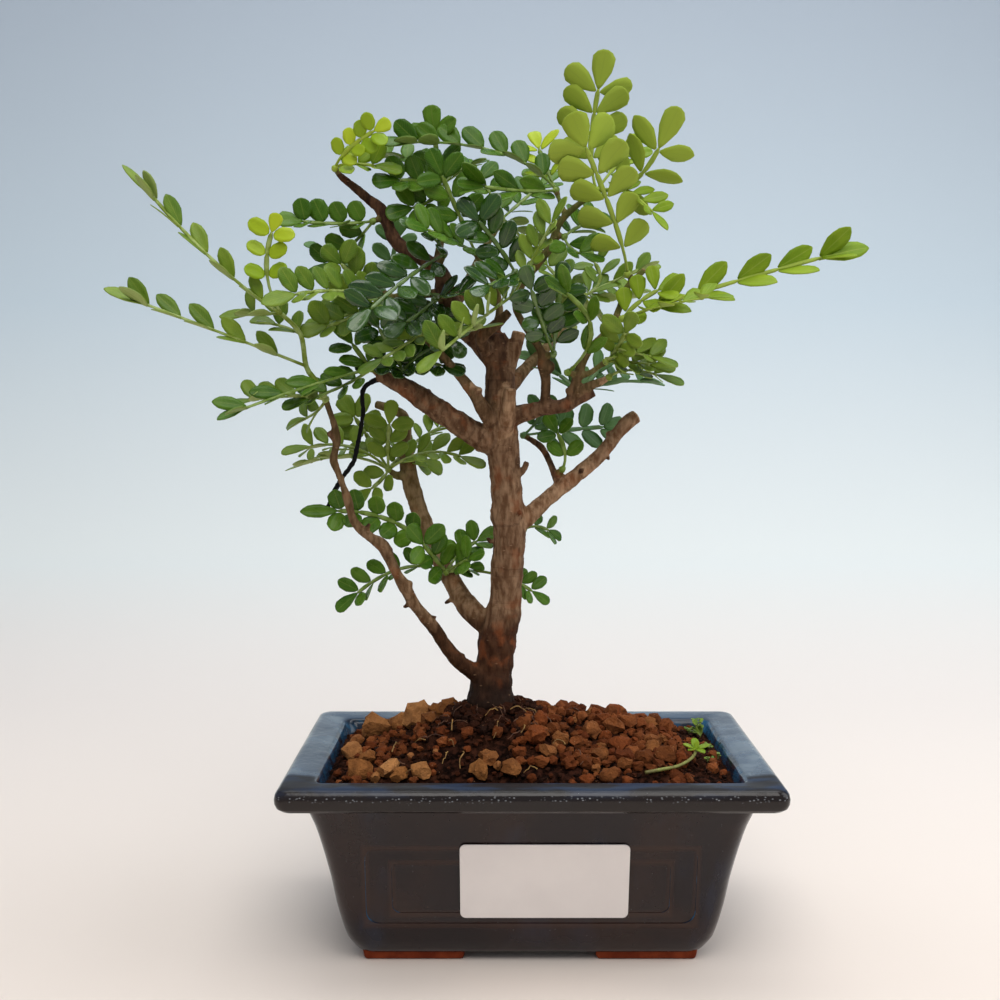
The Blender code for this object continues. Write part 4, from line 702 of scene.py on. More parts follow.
makeTrough()
makeFeet()
makeLabel()
drainNet = cloudedFinish("drainNet", 0.6, (1200, 0.45, 0.55, 1), (0.012, 0.012, 0.012), (0.05, 0.05, 0.05),
                         (1200, 0.45, 0.55, 1), 0.4, 0.0004)
for name in ("drain_mesh_left", "drain_mesh_right"):
    frame["nodes"][name].data.materials.clear()
    frame["nodes"][name].data.materials.append(drainNet)
print("pot, label and drain meshes made")


# the root ball: dark humus with clay granules, straw and root threads
ground = {
    "edge": 56.5, "domeHeight": 6.5, "domeReach": (64, 37),
    "heapHeight": 4.5, "heapPlace": (24, 14), "heapReach": (26, 20), "heapEdge": 50,
    "moundHeight": 11.5, "moundReach": 22.0, "stem": (-12.5, 3.0), "stemClear": 15,
    "weedRoot": (35.0, -29.5), "weedClear": 3.4,
    "weedRoute": ((0, 0, 1.6), (5, 1.2, 2.2), (11, 4.4, 2.4), (16, 9.5, 3.6), (17.5, 12, 5.5)),
    # the humus: its cells, its size before its corners are drawn in, where they begin and their radius
    "cells": (190, 112), "sheet": (127.6, 72.6), "flat": (55.8, 28.3), "corner": 8.0,
    "deep": 4, "sunk": 0.6,
    # where loose lumps may lie, how near to the wall, and how near to each other
    "field": (61, 34), "walls": (62.6, 35.2), "apart": 0.63,
    "granules": 430, "tries": 30000,
    "crumbs": 900,
    "footLumps": 210,
    "marks": ("tone", "ochre", "dark"),
    "seed": 11,
    # how many, seed, thickness, shortest and longest, and where they start
    "strawBits": (15, 5, 0.26, (4, 9), ((-46, 12), (-30, -4))),
    "rootThreads": (12, 8, 0.2, (5, 11), ((-40, 20), (-31, 14))),
    "footRoots": (18, 21, 0.17, (4, 10), ((-27, 4), (-13, 8))),
    "threadSteps": 7, "threadField": (61, 33.5),
    # the stones that stand out: place, size and how ochre they are
    "stones": [(-57.5, -4, 4.4, .7), (-51.5, -14.5, 3.3, .65), (-52.5, -25.5, 4.4, .8),
               (-43.5, -26.5, 4.2, .95), (-40, -30, 3.4, 1.0), (-47.5, -30, 2.4, .8),
               (-33.5, -28.8, 3.5, .95), (-13, -26, 3.7, .55), (-15.5, -30.6, 4.0, 1.0),
               (-6, -29.4, 3.6, .6), (-10.2, -28, 2.0, .75), (-58, 11, 3.4, .4), (-52, 20.5, 6.0, .8),
               (-44.5, 25, 4.4, .8), (-37.5, 19, 6.4, .8), (-29.5, 18, 5.0, .7), (-26.5, 10, 4.2, .5),
               (-22, 24, 3.8, .7), (-33, 8, 3.6, .45), (-55, 28.5, 3.4, .7), (23.9, -31, 3.3, .25),
               (20, -4.5, 3.9, .3), (28, 1, 4.0, .2), (43, -17.5, 4.6, .2), (22, -20, 3.2, .4),
               (29.5, -24, 2.8, .3), (40, -5, 3.2, .3), (36, -20, 3.6, .2)],
}
soilLook = {
    "humusDark": (0.007, 0.003, 0.002), "humusPale": (0.042, 0.014, 0.008), "humusRed": (0.060, 0.020, 0.009),
    "speck": (0.18, 0.08, 0.03),
    "redDark": (0.095, 0.022, 0.007), "redPale": (0.205, 0.050, 0.014),
    "tanDark": (0.30, 0.115, 0.032), "tanPale": (0.52, 0.235, 0.082),
    "dust": (0.060, 0.019, 0.008),
    "earth": (0.020, 0.008, 0.005),
    "grain": (0.40, 0.20, 0.09),
    "strawDark": (0.16, 0.075, 0.018), "strawPale": (0.40, 0.22, 0.06),
    "rootDark": (0.05, 0.02, 0.012), "rootPale": (0.16, 0.07, 0.035),
    # scale, low, high and detail of each cloudy pattern
    "crumb": (420, 0.35, 0.7, 6), "patch": (60, 0.42, 0.6, 3), "grit": (1500, 0.3, 0.7, 4),
    "dusty": (330, 0.40, 0.75, 5), "pores": (900, 0.2, 0.8, 6),
    # scale, size and share of each kind of dots
    "specks": (700, 0.3, 0.04), "grains": (1300, 0.3, 0.12),
}


def soilHeight(x, y):
    across, deep = abs(x / ground["domeReach"][0]), abs(y / ground["domeReach"][1])
    dome = ground["domeHeight"] * (1 - min(1, across ** 3)) * (1 - min(1, deep ** 3))
    aside = (x - ground["heapPlace"][0]) / ground["heapReach"][0]
    back = (y - ground["heapPlace"][1]) / ground["heapReach"][1]
    heap = ground["heapHeight"] * math.exp(-aside * aside - back * back)
    reach = math.hypot(x - ground["stem"][0], y - ground["stem"][1]) / ground["moundReach"]
    return ground["edge"] + dome + heap + ground["moundHeight"] * math.exp(-reach * reach)


def makeHumus():
    columns, rows = ground["cells"]
    pickNone()
    bpy.ops.mesh.primitive_grid_add(x_subdivisions=columns, y_subdivisions=rows, size=1, location=(0, 0, 0))
    humus = bpy.context.object
    humus.name = "rootBall"
    (wide, deep), (flatX, flatY), corner = ground["sheet"], ground["flat"], ground["corner"]
    for vertex in humus.data.vertices:
        x, y = vertex.co.x * wide, vertex.co.y * deep
        overX, overY = max(0.0, abs(x) - flatX), max(0.0, abs(y) - flatY)
        past = math.hypot(overX, overY)
        if past > corner:
            x = math.copysign(flatX + overX * corner / past, x)
            y = math.copysign(flatY + overY * corner / past, y)
        spot = Vector((x, y, 0))
        rough = noise.fractal(spot * 0.32, 0.8, 2.1, 5) + 0.7 * noise.noise(spot * 1.3)
        vertex.co = potPoint(x, y, soilHeight(x, y) + rough - ground["sunk"])
    bpy.ops.object.mode_set(mode="EDIT")
    bpy.ops.mesh.select_all(action="SELECT")
    bpy.ops.mesh.extrude_region_move(TRANSFORM_OT_translate={"value": (0, 0, -ground["deep"] * milli)})
    bpy.ops.mesh.select_all(action="SELECT")
    bpy.ops.mesh.normals_make_consistent(inside=False)
    bpy.ops.object.mode_set(mode="OBJECT")
    bpy.ops.object.shade_smooth()
    dress(humus, humusFinish(), "humus", "soil")


# lumps of baked clay, each knocked into a shape of its own by noise
def clayLumps(fineness, count):
    forms = []
    for index in range(count):
        pickNone()
        bpy.ops.mesh.primitive_ico_sphere_add(subdivisions=fineness + 1, radius=1, location=(0, 0, 0))
        lump = bpy.context.object
        for vertex in lump.data.vertices:
            away = Vector((index * 7.3, 2.0, 0))
            blocky = 1 / max(abs(vertex.co.x), abs(vertex.co.y), abs(vertex.co.z)) ** 0.55
            dent = noise.noise(vertex.co * 1.3 + away) * 0.42 + noise.noise(vertex.co * 3.1 + away) * 0.16
            vertex.co *= (0.80 + dent) * blocky
        forms.append(lump)
    return forms


# how big a random granule is at a place, or 0 where none may lie
def granuleSize(rng, x, y):
    stemGap = math.hypot(x - ground["stem"][0], (y - ground["stem"][1]) * 1.1)
    if stemGap < ground["stemClear"] + 5 * noise.noise(Vector((x * 0.1, y * 0.1, 3))):
        return 0
    weedX, weedY = ground["weedRoot"]
    if any(math.hypot(x - weedX - a, y - weedY - b) < ground["weedClear"] for a, b, _ in ground["weedRoute"]):
        return 0
    edge = ground["heapEdge"] + 6 * noise.noise(Vector((0, y * 0.1, 8)))
    rightHeap = edge > x > -4 + 0.12 * y and y > -27 + 3 * noise.noise(Vector((x * 0.12, 0, 5)))
    if rightHeap:
        return rng.choice((rng.uniform(2.5, 4.3), rng.uniform(1.7, 3.0), rng.uniform(1.1, 2.0)))
    if noise.noise(Vector((x * 0.21, y * 0.21, 4.6))) < (0.05 if x < -40 else 0.22):
        return 0
    return rng.choice((rng.uniform(1.0, 1.7), rng.uniform(1.4, 2.6)))


# lays one lump in a mesh that is being made, so far above the soil, with its marks for the finish
def layLump(edit, rng, form, x, y, lift, size, marks):
    turn = Matrix.Rotation(rng.uniform(0, math.tau), 4, "Z")
    turn = turn @ Matrix.Rotation(rng.uniform(0, math.tau), 4, "X")
    squash = Matrix.Diagonal((1, rng.uniform(0.75, 1), rng.uniform(0.7, 0.95), 1))
    place = Matrix.Translation(potPoint(x, y, soilHeight(x, y) + lift)) @ turn @ squash
    place = place @ Matrix.Scale(size * milli, 4)
    made = [edit.verts.new(place @ vertex.co) for vertex in form.data.vertices]
    for polygon in form.data.polygons:
        edit.faces.new([made[index] for index in polygon.vertices])
    for key, value in zip(ground["marks"], marks):
        layer = edit.verts.layers.float[key]
        for vertex in made:
            vertex[layer] = value


def makeGranules():
    rng = random.Random(ground["seed"])
    forms, crumbForms = clayLumps(1, 8), clayLumps(0, 4)
    edit = bmesh.new()
    for key in ground["marks"]:
        edit.verts.layers.float.new(key)
    taken = []
    for x, y, size, ochre in ground["stones"]:
        taken.append((x, y, size))
        layLump(edit, rng, rng.choice(forms), x, y, size * 0.42, size, (rng.random(), ochre, 0))
    (wide, deep), (wallX, wallY) = ground["field"], ground["walls"]
    tries = 0
    while len(taken) < ground["granules"] and tries < ground["tries"]:
        tries += 1
        x, y = rng.uniform(-wide, wide), rng.uniform(-deep, deep)
        size = granuleSize(rng, x, y)
        if not size or abs(x) + size > wallX or abs(y) + size > wallY:
            continue
        if any(math.hypot(x - a, y - b) < (size + c) * ground["apart"] for a, b, c in taken):
            continue
        taken.append((x, y, size))
        lift = size * rng.uniform(0.15, 0.55)
        marks = (rng.random(), 0.45 if rng.random() < 0.05 else rng.uniform(0, 0.16), 0)
        layLump(edit, rng, rng.choice(forms), x, y, lift, size, marks)
    for _ in range(ground["crumbs"]):
        x, y, size = rng.uniform(-wide, wide), rng.uniform(-deep, deep), rng.uniform(0.45, 1.15)
        lift = rng.uniform(-0.2, 0.6)
        marks = (rng.random(), 0, rng.choice((0.62, 0.9, 1)))
        layLump(edit, rng, rng.choice(crumbForms), x, y, lift, size, marks)
    # lumps of humus lean on the foot of the trunk
    for _ in range(ground["footLumps"]):
        bearing, far, size = rng.uniform(0, math.tau), rng.uniform(6, 17), rng.uniform(0.8, 2.3)
        x, y = ground["stem"][0] + far * math.cos(bearing), ground["stem"][1] + far * math.sin(bearing)
        marks = (rng.random(), 0, rng.uniform(0.72, 1))
        layLump(edit, rng, rng.choice(forms), x, y, size * 0.35, size, marks)
    granules = madeFrom(edit, "clayGranules")
    for lump in forms + crumbForms:
        bpy.data.objects.remove(lump)
    smoothBelow(granules, 38)
    dress(granules, clayFinish(), "humus", "soil")


def humusFinish():
    humus = Finish("humus", 0.95, Specular_IOR_Level=0.05)
    crumb = humus.mottle(*soilLook["crumb"])
    humus.base = humus.mix(crumb, soilLook["humusDark"], soilLook["humusPale"])
    humus.over(humus.mottle(*soilLook["patch"]), soilLook["humusRed"], 0.5)
    humus.over(humus.dots(*soilLook["specks"]), soilLook["speck"])
    return humus.done(humus.plus(crumb, humus.mottle(*soilLook["grit"])), 0.8, 0.0012)


def clayFinish():
    clay = Finish("bakedClay", 0.92, Specular_IOR_Level=0.08)
    tone = clay.attribute("tone")
    red = clay.mix(tone, soilLook["redDark"], soilLook["redPale"])
    tan = clay.mix(tone, soilLook["tanDark"], soilLook["tanPale"])
    clay.base = clay.mix(clay.attribute("ochre"), red, tan)
    clay.over(clay.mottle(*soilLook["dusty"]), soilLook["dust"], 0.45)
    clay.over(clay.attribute("dark"), soilLook["earth"])
    clay.over(clay.dots(*soilLook["grains"]), soilLook["grain"])
    return clay.done(clay.mottle(*soilLook["pores"]), 0.7, 0.0007)


# the finish of straw, roots and stalks
def plainGrown(name, dark, pale, roughness, scale):
    return cloudedFinish(name, roughness, (scale, 0.35, 0.65), dark, pale, (scale * 4, 0.3, 0.7), 0.3, 0.0003)


# thin crooked threads: straw, dead roots
def threads(name, count, seed, thick, lengths, zone, finish):
    rng = random.Random(seed)
    tubes, curve = tubeCurve(name, 1)
    steps, (wide, deep) = ground["threadSteps"], ground["threadField"]
    for _ in range(count):
        x, y = rng.uniform(*zone[0]), rng.uniform(*zone[1])
        bearing, total = rng.uniform(0, math.tau), rng.uniform(*lengths)
        run = []
        for step in range(steps):
            share = step / (steps - 1)
            hump = 1.5 + 1.5 * math.sin(math.pi * share) * rng.uniform(0.5, 1.2)
            x, y = max(-wide, min(wide, x)), max(-deep, min(deep, y))
            radius = thick * rng.uniform(0.7, 1.1) * (1 - 0.5 * share)
            run.append((potPoint(x, y, soilHeight(x, y) + hump), radius))
            bearing += rng.uniform(-0.55, 0.55)
            x += math.cos(bearing) * total / steps
            y += math.sin(bearing) * total / steps
        splineAlong(curve, run)
    made = asMesh(tubes)
    bpy.ops.object.shade_smooth()
    dress(made, finish, "humus", "soil")


makeHumus()
makeGranules()
straw = plainGrown("straw", soilLook["strawDark"], soilLook["strawPale"], 0.7, 500)
deadRoot = plainGrown("deadRoot", soilLook["rootDark"], soilLook["rootPale"], 0.85, 400)
for name, finish in (("strawBits", straw), ("rootThreads", deadRoot), ("footRoots", deadRoot)):
    threads(name, *ground[name], finish)
print("root ball made")


# the wood: trunk, sawn stubs, branches, twigs, spurs and the dead twig
timber = {
    "voxel": 0.55,
    "spacing": 1.1,
    "bud": 1.35,
    "air": 0.3,
    "thinnest": 0.5,
    "seed": 7,
    # how high the bark's ridges, rings and grain stand, and how much less on a sawn end
    "ridge": 0.26, "ring": 0.16, "grain": 0.05, "rotten": 0.22, "sawn": 0.3,
}
# each limb by its places, with its radius as the fourth number
limbs = {
    "stem": [(-12.5, 54, 3, 6.6), (-12.5, 66, 3, 7.0), (-12.6, 76, 3, 7.4), (-12.2, 83, 3, 6.8),
        (-10.9, 90, 3, 6.1), (-10.3, 97, 3, 6.2), (-8.6, 104, 3, 5.9), (-7.6, 110, 3, 5.3),
        (-7.1, 120, 2, 5.2), (-6.3, 130, 2, 5.4), (-6.8, 138, 2, 5.5), (-7.4, 147, 2, 5.1),
        (-8.2, 156, 2, 5.3), (-9.1, 165, 1, 5.6), (-9.4, 173, 1, 5.2), (-9.5, 183, 1, 4.9),
        (-10.2, 191, 1, 4.5), (-10.8, 196, 1, 3.2)],
    "topStub": [(-6.8, 184, 1, 2.2), (-4.6, 191, 0, 2.2), (-3.3, 196.6, 0, 2.3)],
    "frontStub": [(-7.6, 165, -3, 2.6), (-7.0, 171, -5, 2.5), (-6.1, 178.6, -6, 2.1)],
    "leftMain": [(-10, 160, 1, 4.4), (-17, 163.5, 0, 4.2), (-25, 168.6, -2, 3.8), (-33, 174, -3, 3.6),
        (-40, 178.8, -4, 3.1), (-48, 182.6, -6, 2.0)],
    "leftSmall": [(-11, 166, -2, 2.8), (-15, 172, -5, 2.4), (-18, 177, -6, 2.0), (-22.8, 183, -7, 1.6),
        (-27.5, 188.3, -9, 1.4), (-33, 194, -12, 1.1)],
    "leftSmallStub": [(-17.2, 175.6, -6, 1.6), (-16.6, 178.8, -7, 1.5)],
    "darkMain": [(-11, 188, 1, 4.2), (-15.5, 193.5, 1, 4.0), (-20, 197.5, 0, 3.9), (-24.5, 203, -1, 3.6),
        (-27, 209.5, -1, 3.2), (-28, 214.5, 0, 2.8), (-33, 219, 1, 2.4), (-40, 222.8, 2, 2.3),
        (-43.6, 226.6, 3, 2.2), (-45.4, 231, 3, 1.9), (-47.6, 235.6, 3, 2.1), (-51.2, 238.4, 3, 1.6),
        (-55.5, 242, 4, 1.4), (-60.3, 245.8, 4, 1.1)],
    "barkArm": [(-13.5, 190, -3, 2.4), (-15.5, 194.6, -7, 2.1), (-11, 198.6, -9, 1.8),
        (-6.4, 203, -10, 1.3)],
    "rightTop": [(-8, 168.5, 0, 3.4), (-2, 170.4, -2, 3.0), (5, 172.2, -5, 2.5), (11, 172.8, -7, 2.3),
        (15.5, 175, -8, 2.1), (20.8, 177.5, -9, 1.7)],
    "rightTopFork": [(14, 174.6, -8, 1.7), (17.6, 178.4, -10, 1.5), (23.2, 180.6, -11, 1.3)],
    "rightUpright": [(5, 171.5, -5, 1.9), (5.3, 180.5, -8, 1.6), (4.7, 185.4, -9, 2.0),
        (3.7, 190.4, -10, 1.4), (0.8, 195.2, -11, 1.3), (-2.8, 200.6, -12, 1.2), (-4.4, 205.4, -12, 1.2),
        (-2.4, 211.6, -10, 1.2), (2.6, 218, -6, 1.3), (7.2, 224.4, -3, 1.5), (8.8, 229.8, -2, 1.3),
        (11.8, 233.6, -1, 1.1), (15.4, 236.8, 0, 1.0), (19.6, 239.4, 1, 0.9)],
    "rightShoot": [(13.4, 174.2, -8, 1.8), (15, 180.4, -9, 1.6), (16.6, 185.4, -9, 1.5),
        (19.2, 190.6, -9, 1.3), (23.4, 195.2, -8, 1.2), (26.6, 199, -7, 1.15), (29, 204.4, -6, 1.1),
        (31.4, 210.8, -6, 1.05), (37, 216.4, -6, 0.9)],
    "rightShootSpur": [(16.4, 182.4, -9, 1.0), (19.4, 183.4, -11, 1.0), (22.6, 185.6, -12, 0.9)],
    "rightCut": [(-4, 134, 3, 3.2), (1.4, 138.6, 4, 3.0), (6, 142.8, 5, 2.6), (11.2, 147, 6, 2.6),
        (16.4, 151.2, 7, 2.5), (21.2, 155.2, 8, 2.5), (25.4, 159.8, 9, 2.2), (28.4, 163.8, 10, 2.2),
        (31.4, 167.2, 11, 2.5), (34.6, 169.6, 12, 2.3)],
    "rightCutSpur": [(9.4, 148, 6, 1.4), (6.4, 155.2, 10, 1.1), (4, 159.4, 12, 1.2), (0.4, 162, 14, 1.0)],
    "trunkSpur": [(-5, 149.6, 0, 1.4), (-1.9, 152, -1, 1.1), (-0.8, 154.8, -2, 1.0)],
    "midLeft": [(-9, 98, 3, 4.0), (-15, 102.6, 5, 3.9), (-19.4, 106.8, 6, 3.7), (-22.4, 111, 8, 3.3),
        (-25, 115.6, 9, 3.2), (-29, 123, 12, 3.0), (-32.8, 131.4, 14, 2.9), (-36, 140, 16, 2.9),
        (-38.4, 148, 17, 3.0), (-39.6, 156, 18, 2.6), (-40, 163, 19, 2.2), (-41, 170, 21, 1.8),
        (-49.6, 173.4, 24, 1.5)],
    "midLeftSpur": [(-38.6, 150.4, 16, 1.7), (-43.2, 150.2, 15, 1.5)],
    "lowLeft": [(-13, 82, 2, 3.4), (-18.4, 86, 0, 3.0), (-23, 89.2, -2, 2.4), (-27.6, 95, -4, 2.2),
        (-31, 100.2, -5, 2.2), (-37, 107.6, -7, 1.9), (-40.6, 114, -8, 2.1), (-43, 118, -9, 1.7),
        (-45.6, 123.4, -9, 1.8), (-47.6, 127.4, -10, 2.2), (-51.4, 130, -11, 1.6),
        (-55.4, 133.4, -11, 1.5), (-57.6, 137, -12, 1.3), (-58.8, 142, -12, 1.5), (-60.4, 147, -12, 1.1),
        (-61.8, 151, -12, 1.1), (-63.4, 155.2, -12, 1.4), (-62.8, 158.6, -12, 1.2),
        (-62.2, 162, -12, 1.3), (-63, 166.6, -12, 1.1), (-64.8, 172, -12, 1.0)],
    "lowLeftStub": [(-62.4, 161.4, -12, 1.0), (-65.2, 164.4, -13, 0.9)],
    "leftTwig": [(-27, 209, 0, 1.6), (-36, 208.4, 3, 1.3), (-45, 207.6, 0, 1.1)],
    "topTwig": [(-30, 216, 1, 1.6), (-28.6, 224, 5, 1.3), (-27.2, 232, 7, 1.1), (-27.8, 239, 8, 0.9)],
    "centreTwig": [(-12, 193, 1, 1.8), (-9.6, 203, 5, 1.3), (-11.6, 212.6, 5, 1.1), (-16.2, 219.6, 3, 0.9)],
    "firstTwig": [(11.4, 233, -1, 1.0), (10.2, 236.6, 1, 0.9), (9.2, 239, 2, 0.8)],
    "backRight": [(-8, 177, 3, 2.8), (-1.6, 184.4, 10, 2.1), (6, 192, 18, 1.7), (12, 200, 25, 1.4),
        (16, 206, 30, 1.0)],
    "backLeft": [(-22.5, 200, 2, 2.4), (-30, 203, 12, 1.9), (-38, 206, 22, 1.5), (-45, 208, 30, 1.1)],
    "backTop": [(-24.6, 204, 1, 2.2), (-20, 212, 12, 1.7), (-15, 222, 20, 1.3), (-10, 230, 26, 1.0)],
    "deadTwig": [(-47, 182, -6, 1.1), (-51, 180.4, -4, 0.9), (-53.8, 177.6, -3, 0.9),
        (-53.6, 172, -2, 0.8), (-54.4, 166, -2, 0.8), (-55.6, 160, -2, 0.8), (-56.9, 155, -2, 0.9),
        (-60, 150.4, -2, 0.8), (-62.8, 146, -2, 0.9), (-64.6, 142.4, -2, 0.7), (-66, 138.4, -3, 0.9)],
}
knobs = [(-13.2, 138.8, 0, 1.3), (-17.2, 157.4, 0, 1.2), (-1.2, 141.2, 0, 1.1), (25.2, 164.2, 10, 1.3),
         (-21.6, 91.2, -2, 1.0), (-5, 81, 1, 1.2), (-39.2, 114.8, -8, 1.2), (-31.6, 179.4, 2, 1.9),
         (4.8, 185.2, -9, 1.9), (12.6, 177.8, -9, 1.3)]
# short dark spurs, each by its foot and its tip
spurs = [((-38.4, 108.6, -7), (-41.0, 107.0, -8)), ((-32.2, 101.6, -5), (-30.6, 104.4, -6)),
         ((-53.2, 132.0, -11), (-51.8, 134.8, -11)), ((-24.6, 110.0, 8), (-27.6, 108.4, 7)),
         ((-60.2, 149.0, -12), (-62.6, 150.2, -12)), ((17.4, 152.4, 5), (16.6, 151.4, 3.4)),
         ((24.6, 157.6, 8), (26.0, 155.4, 7)), ((-3.4, 138.6, -2.4), (-2.6, 137.8, -4.2)),
         ((-12.4, 128.4, 1), (-13.6, 130.2, 0)), ((-46.8, 124.8, -9), (-44.4, 126.2, -10))]
# how dark, how green and how dead a limb is, from its foot to its tip; the dark share is partly the young
# bark's own brown and partly painted shade on the stem's top and the limbs in the crown, while the front stub
# is kept light as painted light
limbLooks = {
    "stem": ((0.32, 0, 0), (0.95, 0, 0)), "topStub": ((0.5, 0, 0), (0.4, 0, 0)),
    "frontStub": ((0.05, 0, 0), (0.0, 0, 0)), "leftMain": ((0.45, 0, 0), (0.62, 0, 0)),
    "leftSmall": ((0.5, 0, 0), (0.7, 0.2, 0)), "leftSmallStub": ((0.5, 0, 0), (0.35, 0, 0)),
    "darkMain": ((0.7, 0, 0), (0.95, 0, 0)), "barkArm": ((0.7, 0, 0), (0.85, 0.1, 0)),
    "rightTop": ((0.5, 0, 0), (0.72, 0, 0)), "rightTopFork": ((0.5, 0, 0), (0.6, 0.2, 0)),
    "rightUpright": ((0.75, 0, 0), (0.9, 0.5, 0)), "rightShoot": ((0.8, 0, 0), (0.3, 0.75, 0)),
    "rightShootSpur": ((0.5, 0.2, 0), (0.4, 0.5, 0)), "rightCut": ((0.0, 0, 0), (0.05, 0, 0)),
    "rightCutSpur": ((0.6, 0, 0), (0.8, 0, 0)), "trunkSpur": ((0.5, 0, 0), (0.6, 0, 0)),
    "midLeft": ((0.15, 0, 0), (0.42, 0.25, 0)), "midLeftSpur": ((0.3, 0.1, 0), (0.4, 0.4, 0)),
    "lowLeft": ((0.25, 0, 0), (0.68, 0.1, 0)), "lowLeftStub": ((0.5, 0, 0), (0.6, 0, 0)),
    "leftTwig": ((0.6, 0, 0), (0.4, 0.6, 0)), "topTwig": ((0.7, 0, 0), (0.4, 0.6, 0)),
    "centreTwig": ((0.7, 0, 0), (0.4, 0.6, 0)), "firstTwig": ((0.6, 0.4, 0), (0.2, 0.9, 0)),
    "backRight": ((0.5, 0, 0), (0.4, 0.5, 0)), "backLeft": ((0.6, 0, 0), (0.4, 0.5, 0)),
    "backTop": ((0.6, 0, 0), (0.4, 0.5, 0)), "deadTwig": ((0.9, 0, 1), (0.9, 0, 1)),
}
sawnEnds = ("frontStub", "topStub", "rightCut", "leftSmallStub", "rightShoot", "rightTopFork")


# the point on the limbs' middle lines nearest to a point, and how thick the limb is there
def nearestLimb(point):
    best = None
    for limb in limbs.values():
        for first, second in zip(limb, limb[1:]):
            a, b = seen(first), seen(second)
            share = max(0.0, min(1.0, (point - a).dot(b - a) / (b - a).length_squared))
            found = a.lerp(b, share)
            if best is None or (point - found).length < (point - best[0]).length:
                best = (found, first[3] + (second[3] - first[3]) * share)
    return best


# a bud sits at its place, or is pushed out until it clears the limb that it grows from
def budSpot(place):
    point = seen(place)
    root, radius = nearestLimb(point)
    least = (radius + timber["bud"] + 1.5 * timber["air"]) * milli
    if (point - root).length < least:
        point = root + (point - root).normalized() * least
    return point


def throughPoints(before, start, end, after, share):
    a = (end - before) * 0.5
    b = (after - start) * 0.5
    square, cube = share * share, share * share * share
    return (start * (2 * cube - 3 * square + 1) + a * (cube - 2 * square + share)
            + end * (3 * square - 2 * cube) + b * (cube - square))


# a smooth run of points and radii through given ones
def smoothRun(spots, radii, spacing):
    run = []
    for index in range(len(spots) - 1):
        near, far = max(0, index - 1), min(len(spots) - 1, index + 2)
        steps = max(2, round((spots[index + 1] - spots[index]).length / milli / spacing))
        for step in range(steps):
            share = step / steps
            point = throughPoints(spots[near], spots[index], spots[index + 1], spots[far], share)
            swell = throughPoints(radii[near], radii[index], radii[index + 1], radii[far], share)
            run.append((point, max(timber["thinnest"], swell)))
    run.append((spots[-1], radii[-1]))
    return run


# lays the limbs and spurs along a curve, and gives samples of how their bark looks: place, radius,
# distance from the foot, how dark, green and dead, and name
def layLimbs(curve):
    samples = []
    for name, limb in limbs.items():
        run = smoothRun([seen(place) for place in limb], [place[3] for place in limb], timber["spacing"])
        startLook, endLook = limbLooks[name]
        total = 0.0
        rough = []
        for index, (point, radius) in enumerate(run):
            total += (point - run[index - 1][0]).length / milli if index else 0.0
            wave = noise.noise(Vector((total * 0.35, len(name), 1.7))) * 0.07
            node = 0.09 * max(0.0, noise.noise(Vector((total * 0.16, len(name), 9.1))))
            rough.append((point, radius * (1 + wave + node)))
            # the stem darkens only near its top, as painted shade under the crown
            share = (index / (len(run) - 1)) ** (5 if name == "stem" else 1)
            look = [a + (b - a) * share for a, b in zip(startLook, endLook)]
            samples.append((point, radius, total, look, name))
        splineAlong(curve, rough)
    for name, (_, stemPlaces, _) in sprays.items():
        bud = budSpot(stemPlaces[0])
        root, radius = nearestLimb(bud)
        splineAlong(curve, [(root, min(1.4, radius * 0.95)), (root.lerp(bud, 0.55), 1.05), (bud, 0.95)])
        samples.append((bud, 0.9, 0.0, (0.35, 0.7, 0), name))
        samples.append((root.lerp(bud, 0.6), 1.0, 0.0, (0.6, 0.3, 0), name))
    for foot, tip in spurs:
        splineAlong(curve, [(seen(foot), 1.0), (seen(tip), 0.6)])
        samples.append((seen(tip), 0.9, 0.0, (0.9, 0, 0), "spur"))
    return samples


def makeKnobs():
    rng = random.Random(timber["seed"])
    made = []
    for place in knobs:
        root, radius = nearestLimb(seen(place))
        away = (seen(place) - root).normalized()
        bpy.ops.mesh.primitive_ico_sphere_add(subdivisions=3, radius=place[3] * milli,
                                              location=root + away * radius * 0.9 * milli)
        knob = bpy.context.object
        knob.scale = (1, rng.uniform(0.75, 1), rng.uniform(0.8, 1.1))
        made.append(settle(knob))
    return made


